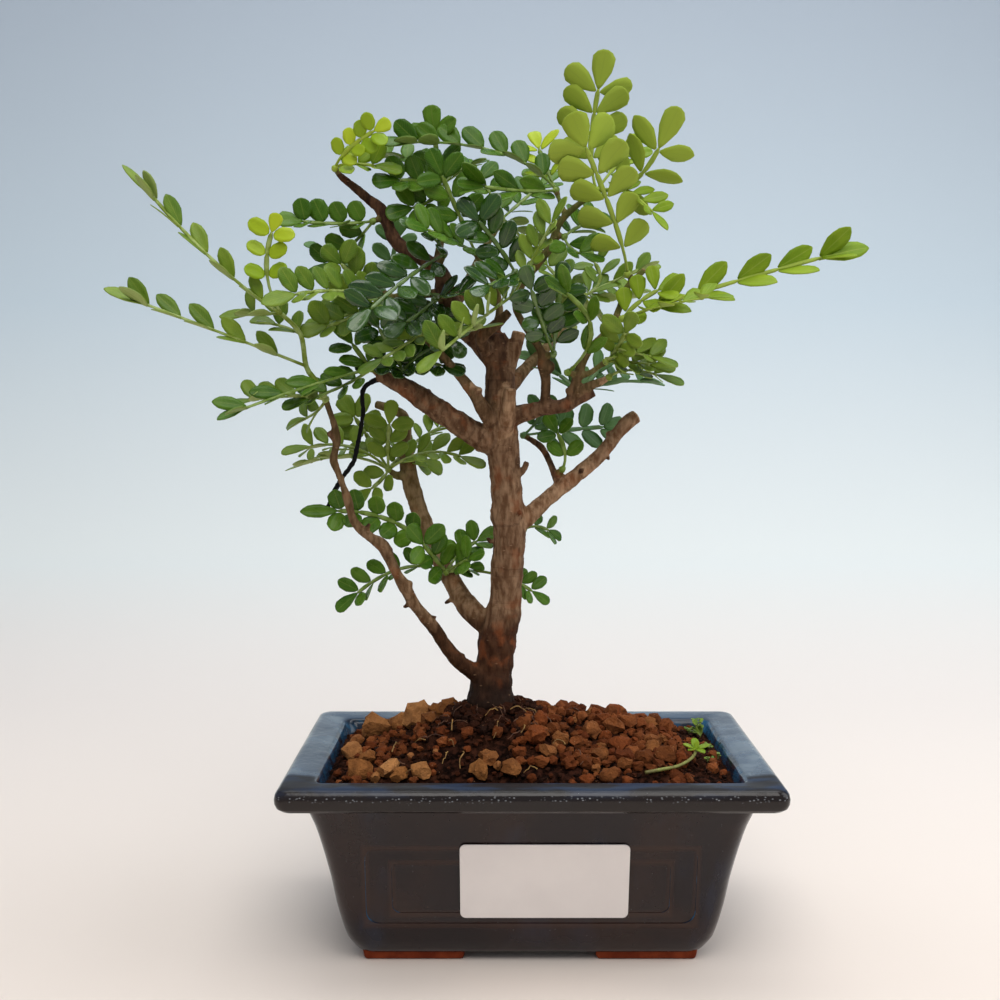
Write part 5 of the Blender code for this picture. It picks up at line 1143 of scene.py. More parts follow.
# roughens the bark and keeps its looks at each point
def shapeBark(wood, samples):
    tree = KDTree(len(samples))
    for index, sample in enumerate(samples):
        tree.insert(sample[0], index)
    tree.balance()
    marks = {key: [] for key in ("dark", "green", "dead", "sawn", "run")}
    ends = []
    for name in sawnEnds:
        before, end = (seen(place) for place in limbs[name][-2:])
        ends.append((end, (end - before).normalized(), limbs[name][-1][3] * milli))
    normals = [vertex.normal.copy() for vertex in wood.data.vertices]
    for vertex, normal in zip(wood.data.vertices, normals):
        nearest = min(tree.find_n(vertex.co, 5), key=lambda hit: hit[2] - samples[hit[1]][1] * milli)
        _, radius, along, look, name = samples[nearest[1]]
        sawn = 0.0
        for point, way, reach in ends:
            past = vertex.co - point
            if past.dot(way) > -0.45 * milli and past.length < reach * 1.5 + 0.5 * milli:
                sawn = 1.0
        spot = vertex.co / milli
        ridge = noise.fractal(Vector((spot.x, spot.y, spot.z * 0.45)) * 0.55, 0.7, 2.2, 4)
        ring = noise.noise(Vector((along * 0.55, radius, 4.2)))
        size = min(1.0, radius / 5.0)
        rise = (timber["ridge"] * ridge + timber["ring"] * ring) * size
        rise += timber["grain"] * noise.noise(spot * 1.9)
        if name == "deadTwig":
            rise += timber["rotten"] * noise.noise(spot * 0.9)
        if sawn:
            rise *= timber["sawn"]
        vertex.co += normal * rise * milli
        for key, value in zip(marks, (*look, sawn, along)):
            marks[key].append(value)
    for key, values in marks.items():
        markPoints(wood, key, values)


def makeWood():
    tubes, curve = tubeCurve("wood", 4)
    samples = layLimbs(curve)
    wood = joined("trunkAndBranches", [asMesh(tubes)] + makeKnobs())
    modified(wood, "grow", "REMESH", mode="VOXEL", voxel_size=timber["voxel"] * milli)
    modified(wood, "even", "SMOOTH", factor=0.5, iterations=3)
    applyModifiers(wood)
    shapeBark(wood, samples)
    pickOnly(wood)
    bpy.ops.object.shade_smooth()
    dress(wood, barkFinish(), "bark", "trunk")


barkLook = {
    "grey": (0.405, 0.252, 0.146),
    "greyDeep": (0.160, 0.078, 0.036),
    "brown": (0.070, 0.027, 0.012),
    "brownDeep": (0.016, 0.006, 0.004),
    "rust": (0.200, 0.056, 0.018),
    "foot": (0.032, 0.010, 0.004),
    "footDeepest": (0.014, 0.006, 0.004),
    "lenticel": (0.34, 0.20, 0.115),
    "green": (0.110, 0.150, 0.026),
    "sawn": (0.43, 0.27, 0.155), "sawnDark": (0.16, 0.075, 0.035),
    "dead": (0.006, 0.006, 0.007),
    "soilLine": (0.084, 0.1035), "wander": 0.006,
    # scale, low, high and detail of each cloudy pattern
    "grain": (620, 0.32, 0.68, 6), "patch": (130, 0.44, 0.66, 4), "grainPull": (1, 1, 0.35),
    "rusty": (170, 0.54, 0.70, 6),
    "wavy": (190, 0.2, 0.8, 3),
    "rings": (0.85, 0.54, 0.66, 2),
    "sawMarks": (500, 0.4, 0.7),
    # scale, size and share of the lenticels
    "lenticels": (420, 0.3, 0.22), "lenticelPull": (1, 1, 2.2),
}


def barkFinish():
    bark = Finish("bark", 0.80, Specular_IOR_Level=0.12)
    times = bark.times
    long = bark.stretched(*barkLook["grainPull"])
    grain, patch = bark.mottle(*barkLook["grain"], long), bark.mottle(*barkLook["patch"], long)
    rust = bark.mottle(*barkLook["rusty"])
    grey = bark.mix(grain, barkLook["greyDeep"], barkLook["grey"])
    grey = bark.mix(times(patch, 0.28), grey, barkLook["brown"])
    grey = bark.mix(times(rust, 0.34), grey, barkLook["rust"])
    brown = bark.mix(grain, barkLook["brownDeep"], barkLook["brown"])
    brown = bark.mix(times(rust, 0.6), brown, barkLook["rust"])
    # the dark mark turns grey bark to brown: the young limbs' own colour, and painted shade on the stem's top
    # and in the crown
    bark.base = bark.mix(bark.attribute("dark"), grey, brown)
    # below a wavy line the trunk is dark and red, and darkest at the very foot
    wander = times(bark.mottle(*barkLook["wavy"]), barkLook["wander"])
    height = bark.sums("SUBTRACT", bark.part(bark.spot, "Z"), wander)
    low, high = barkLook["soilLine"]
    foot = bark.mix(grain, barkLook["foot"], barkLook["brown"])
    foot = bark.mix(times(rust, 0.7), foot, barkLook["rust"])
    foot = bark.mix(bark.between(height, low, low - 0.009), foot, barkLook["footDeepest"])
    bark.over(bark.between(height, high, high - 0.007), foot, 0.96)
    ringRow = bark.node("CombineXYZ", X=bark.attribute("run")).outputs["Vector"]
    bark.over(bark.mottle(*barkLook["rings"], ringRow), barkLook["brownDeep"], 0.30)
    lenticel = bark.dots(*barkLook["lenticels"], bark.stretched(*barkLook["lenticelPull"]))
    bark.over(lenticel, barkLook["lenticel"], 0.6)
    bark.over(bark.attribute("green"), barkLook["green"])
    bark.over(bark.attribute("dead"), barkLook["dead"])
    saw = bark.mix(bark.mottle(*barkLook["sawMarks"]), barkLook["sawn"], barkLook["sawnDark"])
    bark.over(bark.attribute("sawn"), saw)
    return bark.done(bark.plus(times(grain, 0.7), times(lenticel, 0.5)), 0.7, 0.0006)


# the foliage: fronds of small leaflets on winged ribs, a piece for each spray
foliage = {
    "seed": 3,
    "joint": 0.62,
    "ribHalf": 0.72,
    "ribSection": ((1, 0), (0.45, 1), (-0.45, 1), (-1, 0), (-0.45, -1), (0.45, -1)),
    "thick": 0.26, "cells": (7, 4), "marginUv": (0.98, 0.5),
    "sweep": 34.0, "endSweep": 22.0, "looseSweep": 48.0, "looseFrom": 1.1,
    "endLift": 0.15, "shingle": 14.0, "firstSize": 0.82,
    # distance between pairs, as a share of the leaflets' width, and of their length on a loose frond
    "crowding": 1.12, "looseApart": 1.25,
    "mostPairs": 9,
    # the changes of depth, turn and rise that a solid frond may have been laid with
    "away": (0, -5, 5, -10, 10, -15, 15, -21, 21, -27, 27, -34, 34),
    "turns": (0, 22, -22),
    "rises": (0, 5, -5),
    "roughSteps": 20, "fineSteps": 60,
    "young": (("left_shoot", 3), ("first_shoot", 2), ("top_left", 0)),
    "shrunk": {("top_left", 0): 0.86},
    # how some fronds' leaflets lie: turned more to the front, lift, sweep, tilt about their own length, and
    # the distance between pairs where it isn't 0
    "laid": {("upright_left", 0): (0, 66, 10, 24, 6.5), ("long_right", 0): (33, 15, 70, 6, 0),
             ("first_shoot", 0): (8, 24, 56, 8, 7.4)},
    "looseLaid": (11, 15, 74, 6, 0),
    "looseForm": (1.15, 0.86),
    "sunlit": ("back_tuft", "right_low", "right_back"), "sunlitTone": 0.6,
    # sprays whose finish is another shade's: back_tuft and right_low wear the light finish as painted light
    # from behind, low_tuft and right_node wear mid for their own colour
    "tintedAndBacklit": {"back_tuft": "light", "right_low": "light", "low_tuft": "mid", "right_node": "mid"},
}
# the numbers of a frond: the stem point that it grows from, a place halfway, its tip, its fewest pairs, the
# bare share of its rib, the leaflets' length and width, the last leaflet's length, how far its upper side
# turns to the front, and how far the leaflets rise
frondParts = ("from", "half", "tip", "pairs", "bare", "length", "width", "last", "face", "lift")
# a spray: its shade, the points of its stem from the bud outwards, and its fronds
sprays = {
    "left_shoot": ("light", [(-65.4, 174, -12), (-69, 181, -13), (-71.9, 185.6, -14), (-73.6, 195.8, -16),
         (-79.6, 202.2, -18)],
        [(4, (-102.6, 220.6, -22), (-129, 250, -26), 5, 0.15, 8.4, 5.2, 13, 22, 38),
         (2, (-100, 196.6, -20), (-136.5, 210.3, -26), 5, 0.2, 8.8, 5.6, 13, 22, 38),
         (4, (-88, 202.4, -12), (-100, 201.4, -8), 2, 0.4, 8.6, 4.6, 11, 40, 30),
         (4, (-84.2, 217, -20), (-80, 234, -22), 2, 0.5, 6.8, 4.8, 6, 85, 10),
         (0, (-78, 175.8, -18), (-98, 173.4, -24), 2, 0.2, 8.4, 4.8, 9, 20, 25),
         (0, (-71, 169.4, -8), (-79, 167.6, -4), 2, 0.5, 8.6, 4.8, 8, 40, 15)]),
    "left_high": ("mid", [(-50, 231.6, 1)],
        [(0, (-65, 231, -2), (-80.5, 232.8, -6), 4, 0.18, 7.4, 6.2, 8, 55, 35),
         (0, (-59, 222.4, -6), (-72, 213.6, -12), 2, 0.3, 8, 5.4, 9, 40, 25)]),
    "left_mid": ("light", [(-47.6, 207.2, -2)],
        [(0, (-66, 209.6, -10), (-86, 205.2, -14), 4, 0.2, 8.6, 5.2, 11, 60, 30),
         (0, (-60, 201.4, 2), (-73, 198.6, 4), 2, 0.3, 8.6, 6, 9, 45, 15),
         (0, (-57.6, 215.6, 2), (-66, 223.6, 2), 2, 0.35, 8.4, 5.6, 8, 80, 15)]),
    "top_left": ("young", [(-61.6, 247.8, 3)],
        [(0, (-56.6, 255, -2), (-43.4, 263.2, -6), 4, 0.3, 6.8, 5.2, 7, 80, 15),
         (0, (-55, 249.6, 2), (-40.6, 247.4, 2), 2, 0.25, 7.8, 4.8, 9, 50, 20)]),
    "top_mid": ("mid", [(-28.2, 241.2, 8.4)],
        [(0, (-29.6, 253, 9), (-31.4, 268, 7), 2, 0.45, 9, 6, 9, 85, 10),
         (0, (-39, 250.8, 8), (-54, 250.4, 6), 2, 0.25, 8, 4.8, 9, 25, 20),
         (0, (-23, 247.4, 14), (-12.6, 250.6, 18), 2, 0.3, 7.6, 4.2, 8, 20, 20)]),
    "centre": ("mid", [(-17.4, 221.8, 2)],
        [(0, (-24.6, 238.4, -4), (-31.8, 254.4, -8), 4, 0.25, 9, 5.6, 9, 80, 15),
         (0, (-28, 227, -2), (-39, 231.4, -6), 2, 0.3, 8.6, 5.2, 9, 60, 20)]),
    "upright_left": ("light", [(-5.2, 208, -14)],
        [(0, (-15.6, 200.6, -30), (-36, 184, -44), 4, 0.15, 9.2, 5, 10, 22, 40),
         (0, (4.4, 226, -20), (11.4, 239.4, -26), 2, 0.35, 8.6, 4, 9, 35, 20)]),
    "glossy_right": ("dark", [(-4.6, 215.4, -10)],
        [(0, (-12, 226.4, -20), (-22.6, 238.6, -26), 3, 0.2, 9.6, 5.6, 9, 75, 20),
         (0, (-10.8, 212.4, -20), (-18.6, 208, -26), 2, 0.4, 9, 5, 9, 50, 20)]),
    "glossy_left": ("dark", [(-27.2, 221.2, -5)],
        [(0, (-41.6, 211.8, -22), (-57.6, 197.4, -36), 4, 0.2, 10.4, 5.4, 10, 62, 20),
         (0, (-32.4, 227.6, -12), (-42, 230.6, -18), 2, 0.4, 9.4, 4.8, 9, 50, 15)]),
    "right_high": ("pale", [(21, 241, 1.6)],
        [(0, (19.8, 259, 2), (24.4, 285, -6), 4, 0.36, 12, 7.2, 12, -88, 8),
         (0, (35.8, 246.6, -6), (45.8, 268, -14), 3, 0.36, 12, 6.2, 13.5, -80, 8),
         (0, (28.4, 250.4, 6), (35, 259, 8), 2, 0.5, 8.4, 4.8, 9, 70, 15),
         (0, (33.4, 239.4, -6), (43.6, 228.2, -10), 2, 0.4, 8, 3.8, 8, 15, 20)]),
    "first_shoot": ("mid", [(8.6, 241, 2.6)],
        [(0, (-12, 253.8, 4), (-46.8, 256, 0), 5, 0.14, 9.2, 6, 10, 30, 34),
         (0, (-5, 241.4, -4), (-23.4, 243.8, -8), 3, 0.2, 9.2, 6.4, 9, 55, 20),
         (0, (4.4, 250.4, 8), (1, 260.4, 12), 1, 0.4, 8.4, 4.8, 8, 65, 20)]),
    "right_mid": ("mid", [(10.6, 226.8, -3)],
        [(0, (17.4, 230.6, 0), (27, 233, 2), 2, 0.3, 8.4, 6.4, 8, 50, 20),
         (0, (15.6, 221.6, -8), (24.6, 221.6, -12), 2, 0.4, 8.8, 4.8, 9, 30, 20)]),
    "right_spur": ("dark", [(7.8, 189.4, -11)],
        [(0, (3.2, 202, -15), (-1.8, 217.6, -18), 2, 0.4, 8, 5, 8, 80, 15),
         (0, (9, 203, -20), (11, 219, -24), 2, 0.25, 9, 4.8, 9, 75, 20)]),
    "right_node": ("dark", [(12.4, 183.6, -11.4)],
        [(0, (19.6, 198.8, -20), (4.4, 213.4, -30), 3, 0.3, 9.4, 4.6, 9, 70, 20)]),
    "right_low": ("mid", [(24.6, 187, -13)],
        [(0, (35, 189.4, -18), (47.4, 185, -24), 2, 0.15, 8, 4.4, 9, 22, 20),
         (0, (30, 194.4, -22), (33, 203.4, -28), 1, 0.4, 8, 4.6, 8, 70, 20)]),
    "right_lower": ("light", [(25.2, 181.8, -12)],
        [(0, (35, 184.2, -14), (49.6, 179.2, -18), 2, 0.25, 8.6, 4.6, 9, 30, 10)]),
    "right_shoot": ("pale", [(31.4, 214.8, -6.4)],
        [(0, (26.6, 233, -12), (13, 265.6, -22), 5, 0.24, 11.6, 8.6, 11, -75, 12)]),
    "long_right": ("pale", [(29.8, 200.8, -8.6)],
        [(0, (62.6, 211.6, -14), (108.4, 224, -24), 5, 0.2, 11.2, 7.2, 14, 25, 38),
         (0, (46.4, 205.6, -12), (65.4, 208.2, -14), 2, 0.35, 8.2, 5, 9, 15, 10)]),
    "left_tip": ("mid", [(-50, 184.2, -7.4)],
        [(0, (-73, 178.6, -18), (-101, 168.6, -28), 4, 0.2, 8.4, 5, 9, 20, 25),
         (0, (-56, 191.4, -10), (-62, 200.4, -12), 2, 0.35, 8.6, 5.2, 9, 70, 20)]),
    "left_small": ("light", [(-34.8, 195.4, -13)],
        [(0, (-43, 190.6, -20), (-55, 183.4, -26), 2, 0.2, 7.6, 4.2, 9, 30, 15),
         (0, (-25, 196, -26), (-8.4, 199.6, -34), 2, 0.2, 6.4, 3, 8, 15, 15)]),
    "back_tuft": ("mid", [(-45, 151.8, 14.4)],
        [(0, (-45.6, 163, 12), (-44, 174.6, 10), 2, 0.35, 8, 4.8, 8, 80, 15),
         (0, (-61, 160.2, 9), (-80, 156.6, 6), 2, 0.3, 8.8, 4.6, 10, 35, 20),
         (0, (-61, 156.4, 18), (-79, 151.2, 20), 2, 0.4, 8, 3.6, 10, 10, 20),
         (0, (-53, 164, 18), (-61, 176, 20), 2, 0.45, 8.8, 6.2, 9, 75, 15),
         (0, (-30.6, 158, 12), (-14.6, 152.4, 9), 2, 0.3, 8.4, 4.6, 9, 35, 20),
         (0, (-35, 162.4, 24), (-22, 168.6, 28), 2, 0.35, 8, 4, 9, 25, 20)]),
    "low_tuft": ("dark", [(-27, 118.8, 5)],
        [(0, (-44, 119.2, 3), (-62.6, 105.6, 0), 2, 0.35, 7.6, 4.4, 9, 40, 20),
         (0, (-46, 136, 2), (-74.4, 137.4, -2), 2, 0.42, 7.2, 6.2, 12, 75, 20),
         (0, (-33, 126, -3), (-39.6, 134, -9), 2, 0.25, 8.4, 5.4, 9, 60, 20),
         (0, (-20, 127, 14), (-9.6, 131.6, 17), 2, 0.45, 7.2, 5, 8, 45, 20),
         (0, (-20.6, 122.6, -2), (-14.4, 125, -6), 1, 0.7, 7.4, 4.8, 7, 50, 20),
         (0, (-8.6, 117.4, 19), (6.2, 108, 22), 1, 0.65, 6.6, 3.8, 7, 40, 15)]),
    "trunk_back": ("mid", [(-1.6, 132.8, 10.4)],
        [(0, (4.2, 133.4, 13), (10.4, 129.2, 16), 1, 0.5, 6.2, 4, 6, 45, 15)]),
    "cut_spur": ("teal", [(-1.6, 163.2, 14.6)],
        [(0, (14, 165.2, 19), (31.4, 166.6, 25), 2, 0.25, 8.2, 6.2, 9, 70, 20),
         (0, (3, 168.6, 18), (7.6, 176.4, 20), 1, 0.5, 7, 4.4, 7, 60, 20)]),
    "cut_arm": ("mid", [(10.8, 152.4, 5.6)],
        [(0, (11, 160, 6), (5, 169.8, 7), 2, 0.4, 6.6, 4.6, 7, 75, 15)]),
    "right_back": ("teal", [(15.8, 176.8, -2.4)],
        [(0, (29, 180.6, 10), (43.6, 180.2, 20), 2, 0.25, 8.6, 5, 10, 30, 20)]),
    "back_right": ("light", [(17.6, 208, 31.6)],
        [(0, (22.6, 214.4, 36), (16, 223.6, 40), 2, 0.2, 8, 4, 8, 80, 15),
         (0, (9, 214, 38), (1, 224, 42), 2, 0.25, 8.6, 5.6, 9, 40, 15),
         (0, (27, 207, 44), (38, 211, 56), 2, 0.25, 8.6, 5.4, 10, 20, 20),
         (0, (12, 201, 42), (6, 193, 50), 2, 0.3, 8.6, 5.6, 9, -30, 15)]),
    "back_left": ("teal", [(-47, 209.6, 32)],
        [(0, (-58, 217.6, 36), (-72, 225, 38), 2, 0.3, 8.6, 5, 10, 25, 20),
         (0, (-57, 204.6, 40), (-67, 199, 44), 2, 0.3, 8.4, 6, 9, 45, 15),
         (0, (-43.6, 221, 34), (-41, 234, 34), 2, 0.25, 8.4, 5.4, 9, 75, 15),
         (0, (-42, 202.6, 42), (-36, 194, 52), 2, 0.3, 8.6, 5.4, 9, -20, 15)]),
    "back_top": ("mid", [(-8.8, 232.4, 27.4)],
        [(0, (-14, 242.4, 32), (-22, 250.4, 36), 2, 0.25, 8.4, 5.4, 9, 40, 15),
         (0, (0, 240, 32), (9, 247.6, 34), 2, 0.25, 8.4, 5.6, 9, 40, 15),
         (0, (-4, 228, 40), (1, 220, 50), 2, 0.25, 8.6, 5.4, 9, 10, 15)]),
    "inner_left": ("dark", [(-40.6, 184, -3)],
        [(0, (-46, 194, -6), (-53.6, 205.4, -8), 2, 0.25, 8.8, 5.4, 9, 70, 20),
         (0, (-37.4, 195.6, 2), (-31.4, 206.4, 4), 2, 0.4, 8.6, 5.2, 9, 75, 20)]),
    "inner_mid": ("dark", [(-30.4, 206.8, -6)],
        [(0, (-38, 200.6, -12), (-47, 196, -16), 2, 0.25, 8.6, 5.4, 9, 60, 20),
         (0, (-23.4, 208.6, -12), (-14, 207, -16), 2, 0.3, 8.6, 4.4, 9, 30, 20)]),
}
# smaller fronds that fill the crown between the solid ones
filling = {
    "top_mid": [(0, (-38, 244.5, 4), (-50, 243, 0), 3, 0.15, 8.4, 6, 9, 60, 20),
                (0, (-35, 236.5, 4), (-46, 235, 0), 3, 0.2, 8.2, 5.6, 9, 70, 15),
                (0, (-33, 246, 12), (-41, 248.5, 14), 2, 0.3, 7.6, 5.2, 8, 50, 20)],
    "left_mid": [(0, (-60, 200, -8), (-74, 197, -12), 4, 0.2, 8.4, 5.6, 9, 55, 20)],
    "left_shoot": [(3, (-80, 198.5, -12), (-90, 201, -10), 2, 0.3, 8.4, 5, 9, 35, 25)],
    "left_tip": [(0, (-63, 178, -14), (-80, 172.6, -18), 3, 0.3, 8, 5, 9, 35, 20)],
    "inner_left": [(0, (-34, 190, -8), (-24, 194, -12), 3, 0.2, 8, 5, 8, 55, 20),
                   (0, (-47, 186, -6), (-56, 184, -8), 2, 0.25, 7.6, 4.8, 8, 50, 20),
                   (0, (-32, 186.5, -7), (-21, 182.6, -10), 3, 0.15, 7.6, 5, 8, 50, 20)],
    "inner_mid": [(0, (-28, 197, -10), (-20, 190, -14), 3, 0.3, 8, 4.8, 8, 60, 20)],
    "right_back": [(0, (8, 184, 10), (-4, 190, 16), 3, 0.2, 8, 5, 8, 45, 20),
                   (0, (24, 186, 8), (32, 194, 14), 3, 0.2, 8, 5, 8, 45, 20)],
    "back_right": [(0, (24, 199, 36), (32, 190, 42), 3, 0.2, 8, 5.4, 9, 20, 20),
                   (0, (10, 199, 38), (2, 190, 44), 3, 0.2, 8, 5.4, 9, 30, 20),
                   (0, (30, 214, 36), (42, 218, 40), 3, 0.2, 8, 5.4, 9, 30, 20)],
    "right_low": [(0, (36, 186.5, -16), (47, 184, -18), 3, 0.25, 8, 5, 8, 45, 20)],
    "low_tuft": [(0, (-20, 120.4, 9), (-14.5, 119.4, 11), 1, 0.6, 6, 4, 6, 45, 15)],
    "long_right": [(0, (38, 208, -10), (49, 213, -8), 3, 0.2, 8, 5.4, 8.6, 60, 20)],
    "back_tuft": [(0, (-39, 156, 20), (-28, 151, 24), 2, 0.3, 8, 5.4, 9, 50, 20),
                  (0, (-50, 147, 12), (-58, 142, 10), 2, 0.3, 7.6, 5, 8, 50, 20)],
}
# half width of a leaflet along its length, for each form
leafForms = {
    "oval": ((0, .10), (.11, .50), (.27, .82), (.45, .98), (.63, 1.0), (.80, .86), (.93, .54), (1.0, .14)),
    "slim": ((0, .10), (.11, .40), (.27, .72), (.45, .95), (.63, .99), (.80, .80), (.93, .46), (1.0, .08)),
    "round": ((0, .12), (.10, .58), (.25, .88), (.43, 1.0), (.62, 1.0), (.79, .90), (.92, .62), (1.0, .20)),
    "wedge": ((0, .08), (.12, .34), (.28, .62), (.46, .86), (.64, 1.0), (.81, .97), (.94, .68), (1.0, .22)),
}


# a leaflet lying along X, one long, its half width one across Y
def modelLeaflets():
    forms = {}
    along, across = foliage["cells"]
    for name, outline in leafForms.items():
        pickNone()
        bpy.ops.mesh.primitive_grid_add(x_subdivisions=along, y_subdivisions=across, size=1,
                                        location=(0, 0, 0))
        leaf = bpy.context.object
        leaf.name = f"{name}Leaflet"
        paint = leaf.data.uv_layers.active or leaf.data.uv_layers.new(name="UVMap")
        for loop in leaf.data.loops:
            flat = leaf.data.vertices[loop.vertex_index].co
            paint.data[loop.index].uv = (flat.y + 0.5, flat.x + 0.5)
        for vertex in leaf.data.vertices:
            row = round((vertex.co.x + 0.5) * along)
            place, width = outline[row]
            out = vertex.co.y * 2
            scallop = 1 + (0.035 if row % 2 else -0.02) * (abs(out) > 0.9)
            vertex.co = (place, out * width * scallop, 0.10 * abs(out) ** 1.4 * width)
        forms[name] = leaf
    return forms


# the curve of one frond from where it grows, and how its leaflets lie, with changes of depth, turn and rise
def archOf(start, frond, away, turn, rise, steps):
    half, tip = frond["half"], frond["tip"]
    middle = seen((half[0], half[1] + rise * 0.5, half[2] + away * 0.6))
    end = seen((tip[0], tip[1] + rise, tip[2] + away))
    control = 2 * middle - (start + end) / 2
    points = []
    reach = [0.0]
    for step in range(steps + 1):
        far = step / steps
        near = 1 - far
        points.append(near * near * start + 2 * near * far * control + far * far * end)
        if step:
            reach.append(reach[-1] + (points[-1] - points[-2]).length)
    face = math.radians(frond["face"] + turn)
    rib = max(reach[-1] - frond["last"] * milli, reach[-1] * 0.35)
    pairs, wide = frond["pairs"], foliage["looseFrom"] * frond["length"] * milli
    loose = pairs > 2 and rib * (1 - frond["bare"]) / (pairs - 1) > wide
    return {"start": start, "control": control, "end": end, "steps": steps, "reach": reach,
            "upper": Vector((0, -math.sin(face), math.cos(face))), "lift": math.radians(frond["lift"]),
            "rib": rib, "loose": loose, "sweep": foliage["looseSweep" if loose else "sweep"],
            "endSweep": foliage["looseSweep" if loose else "endSweep"], "shingle": foliage["shingle"]}


# point, way forward, way to the side and way up at a distance along a frond
def onArch(arch, distance):
    index = 0
    while index < arch["steps"] - 1 and arch["reach"][index + 1] < distance:
        index += 1
    span = arch["reach"][index + 1] - arch["reach"][index]
    far = (index + (distance - arch["reach"][index]) / span) / arch["steps"]
    near = 1 - far
    start, control, end = arch["start"], arch["control"], arch["end"]
    point = near * near * start + 2 * near * far * control + far * far * end
    forward = (near * (control - start) + far * (end - control)).normalized()
    up = (arch["upper"] - arch["upper"].dot(forward) * forward).normalized()
    return point, forward, forward.cross(up), up


# where a frond's pairs sit, as place, share of the full size and whether it is the last pair
def pairPlaces(arch, pairs, bare):
    least = foliage["firstSize"]
    places = []
    for k in range(pairs):
        share = bare + (1 - bare) * k / (pairs - 1) if pairs > 1 else 1
        size = least + (1 - least) * min(1, 2 * (k + 1) / pairs)
        places.append((arch["rib"] * share - foliage["joint"] * milli, size, k == pairs - 1))
    return places


def leafletWay(arch, place, sign, closing, jitter=(0, 0, 0)):
    point, forward, side, up = onArch(arch, place)
    sweep = math.radians(arch["endSweep" if closing else "sweep"] + jitter[0])
    lift = arch["lift"] + (foliage["endLift"] if closing else 0) + math.radians(jitter[1])
    flat = sign * math.cos(sweep) * side + math.sin(sweep) * forward
    out = (math.cos(lift) * flat + math.sin(lift) * up).normalized()
    across = (forward - forward.dot(out) * out).normalized()
    across = Matrix.Rotation(-sign * math.radians(arch["shingle"] + jitter[2]), 3, out) @ across
    return point + sign * side * foliage["ribHalf"] * milli, out, across


# the change of depth, turn and rise that the solid frond was laid with
def laidAs(start, frond, tree):
    best = None
    for rise in foliage["rises"]:
        for turn in foliage["turns"]:
            for away in foliage["away"]:
                arch = archOf(start, frond, away, turn, rise, foliage["roughSteps"])
                marks = [arch["end"]]
                for place, size, closing in pairPlaces(arch, frond["pairs"], frond["bare"]):
                    for sign in (-1, 1):
                        base, out, _ = leafletWay(arch, place, sign, closing)
                        marks.append(base + out * frond["length"] * milli * size)
                miss = sum(tree.find(mark)[2] for mark in marks) / len(marks)
                if best is None or miss < best[0]:
                    best = (miss, away, turn, rise)
    return best[1:]


def startGreen():
    edit = bmesh.new()
    layers = {key: edit.faces.layers.float.new(key) for key in ("under", "tone", "young", "rib")}
    layers["uv"] = edit.loops.layers.uv.new("leafUv")
    return edit, layers


def endGreen(edit, name, finish, slotName, node):
    bmesh.ops.recalc_face_normals(edit, faces=edit.faces)
    return dress(madeFrom(edit, name), finish, slotName, node)


def markFaces(faces, layers, **values):
    for face in faces:
        for key, value in values.items():
            face[layers[key]] = value


# lays one leaflet in a mesh that is being made: its size is its length and half width, its bend how far it
# droops, twists and folds up
def layLeaflet(edit, layers, form, way, up, size, bend, tone, young):
    base, out, across = way
    length, half = size
    normal = out.cross(across)
    if normal.dot(up) < 0:
        normal = -normal
    uv = layers["uv"]
    rings = {}
    for side, away in ((0, 0.5), (1, -0.5)):
        for vertex in form.data.vertices:
            x, y, z = vertex.co
            droop = -bend[0] * x * x * length + bend[1] * y * x * half * 0.5
            rise = z * half * bend[2] + droop + away * foliage["thick"] * milli
            spot = base + out * x * length + across * y * half + normal * rise
            rings[side, vertex.index] = edit.verts.new(spot)
    paint = form.data.uv_layers.active.data
    for side in (0, 1):
        for polygon in form.data.polygons:
            order = list(zip(polygon.vertices, polygon.loop_indices))
            if side == 1:
                order.reverse()
            face = edit.faces.new([rings[side, index] for index, _ in order])
            face.smooth = True
            markFaces([face], layers, under=float(side), tone=tone, young=young)
            for loop, (_, place) in zip(face.loops, order):
                loop[uv].uv = paint[place].uv
    # the two sides are joined round the margin
    counts = {}
    for polygon in form.data.polygons:
        for key in polygon.edge_keys:
            counts[key] = counts.get(key, 0) + 1
    for (a, b), count in counts.items():
        if count == 1:
            face = edit.faces.new((rings[0, a], rings[0, b], rings[1, b], rings[1, a]))
            markFaces([face], layers, under=0.5, tone=tone, young=young)
            for loop in face.loops:
                loop[uv].uv = foliage["marginUv"]


# joins rows of points to one closed rib or stem
def skinRows(edit, layers, rows, tone, young=0.0):
    made = [edit.faces.new(rows[0]), edit.faces.new(rows[-1])]
    for low, high in zip(rows, rows[1:]):
        for k in range(len(low)):
            after = (k + 1) % len(low)
            made.append(edit.faces.new((low[k], low[after], high[after], high[k])))
    for face in made:
        face.smooth = True
    markFaces(made, layers, rib=1.0, tone=tone, young=young)
    return made


# a winged rib: flat between its joints, pinched at each, thin before the first pair
def layRib(edit, layers, arch, places, young):
    stations = []
    first = places[0]
    steps = max(3, round(first / milli / 3))
    for step in range(steps):
        stations.append((first * step / steps, 0.46 if step else 0.6, 0.44))
    for index, place in enumerate(places):
        stations.append((place, 0.50, 0.42))
        if index < len(places) - 1:
            gap = places[index + 1] - place
            stations += [(place + gap * 0.2, 0.74, 0.26), (place + gap * 0.55, 0.84, 0.24),
                         (place + gap * 0.9, 0.76, 0.26)]
    stations.append((arch["rib"], 0.40, 0.35))
    rows = []
    for distance, half, thick in stations:
        point, _, side, up = onArch(arch, distance)
        rows.append([edit.verts.new(point + side * a * half * milli + up * b * thick * milli)
                     for a, b in foliage["ribSection"]])
    skinRows(edit, layers, rows, 0.5, young)


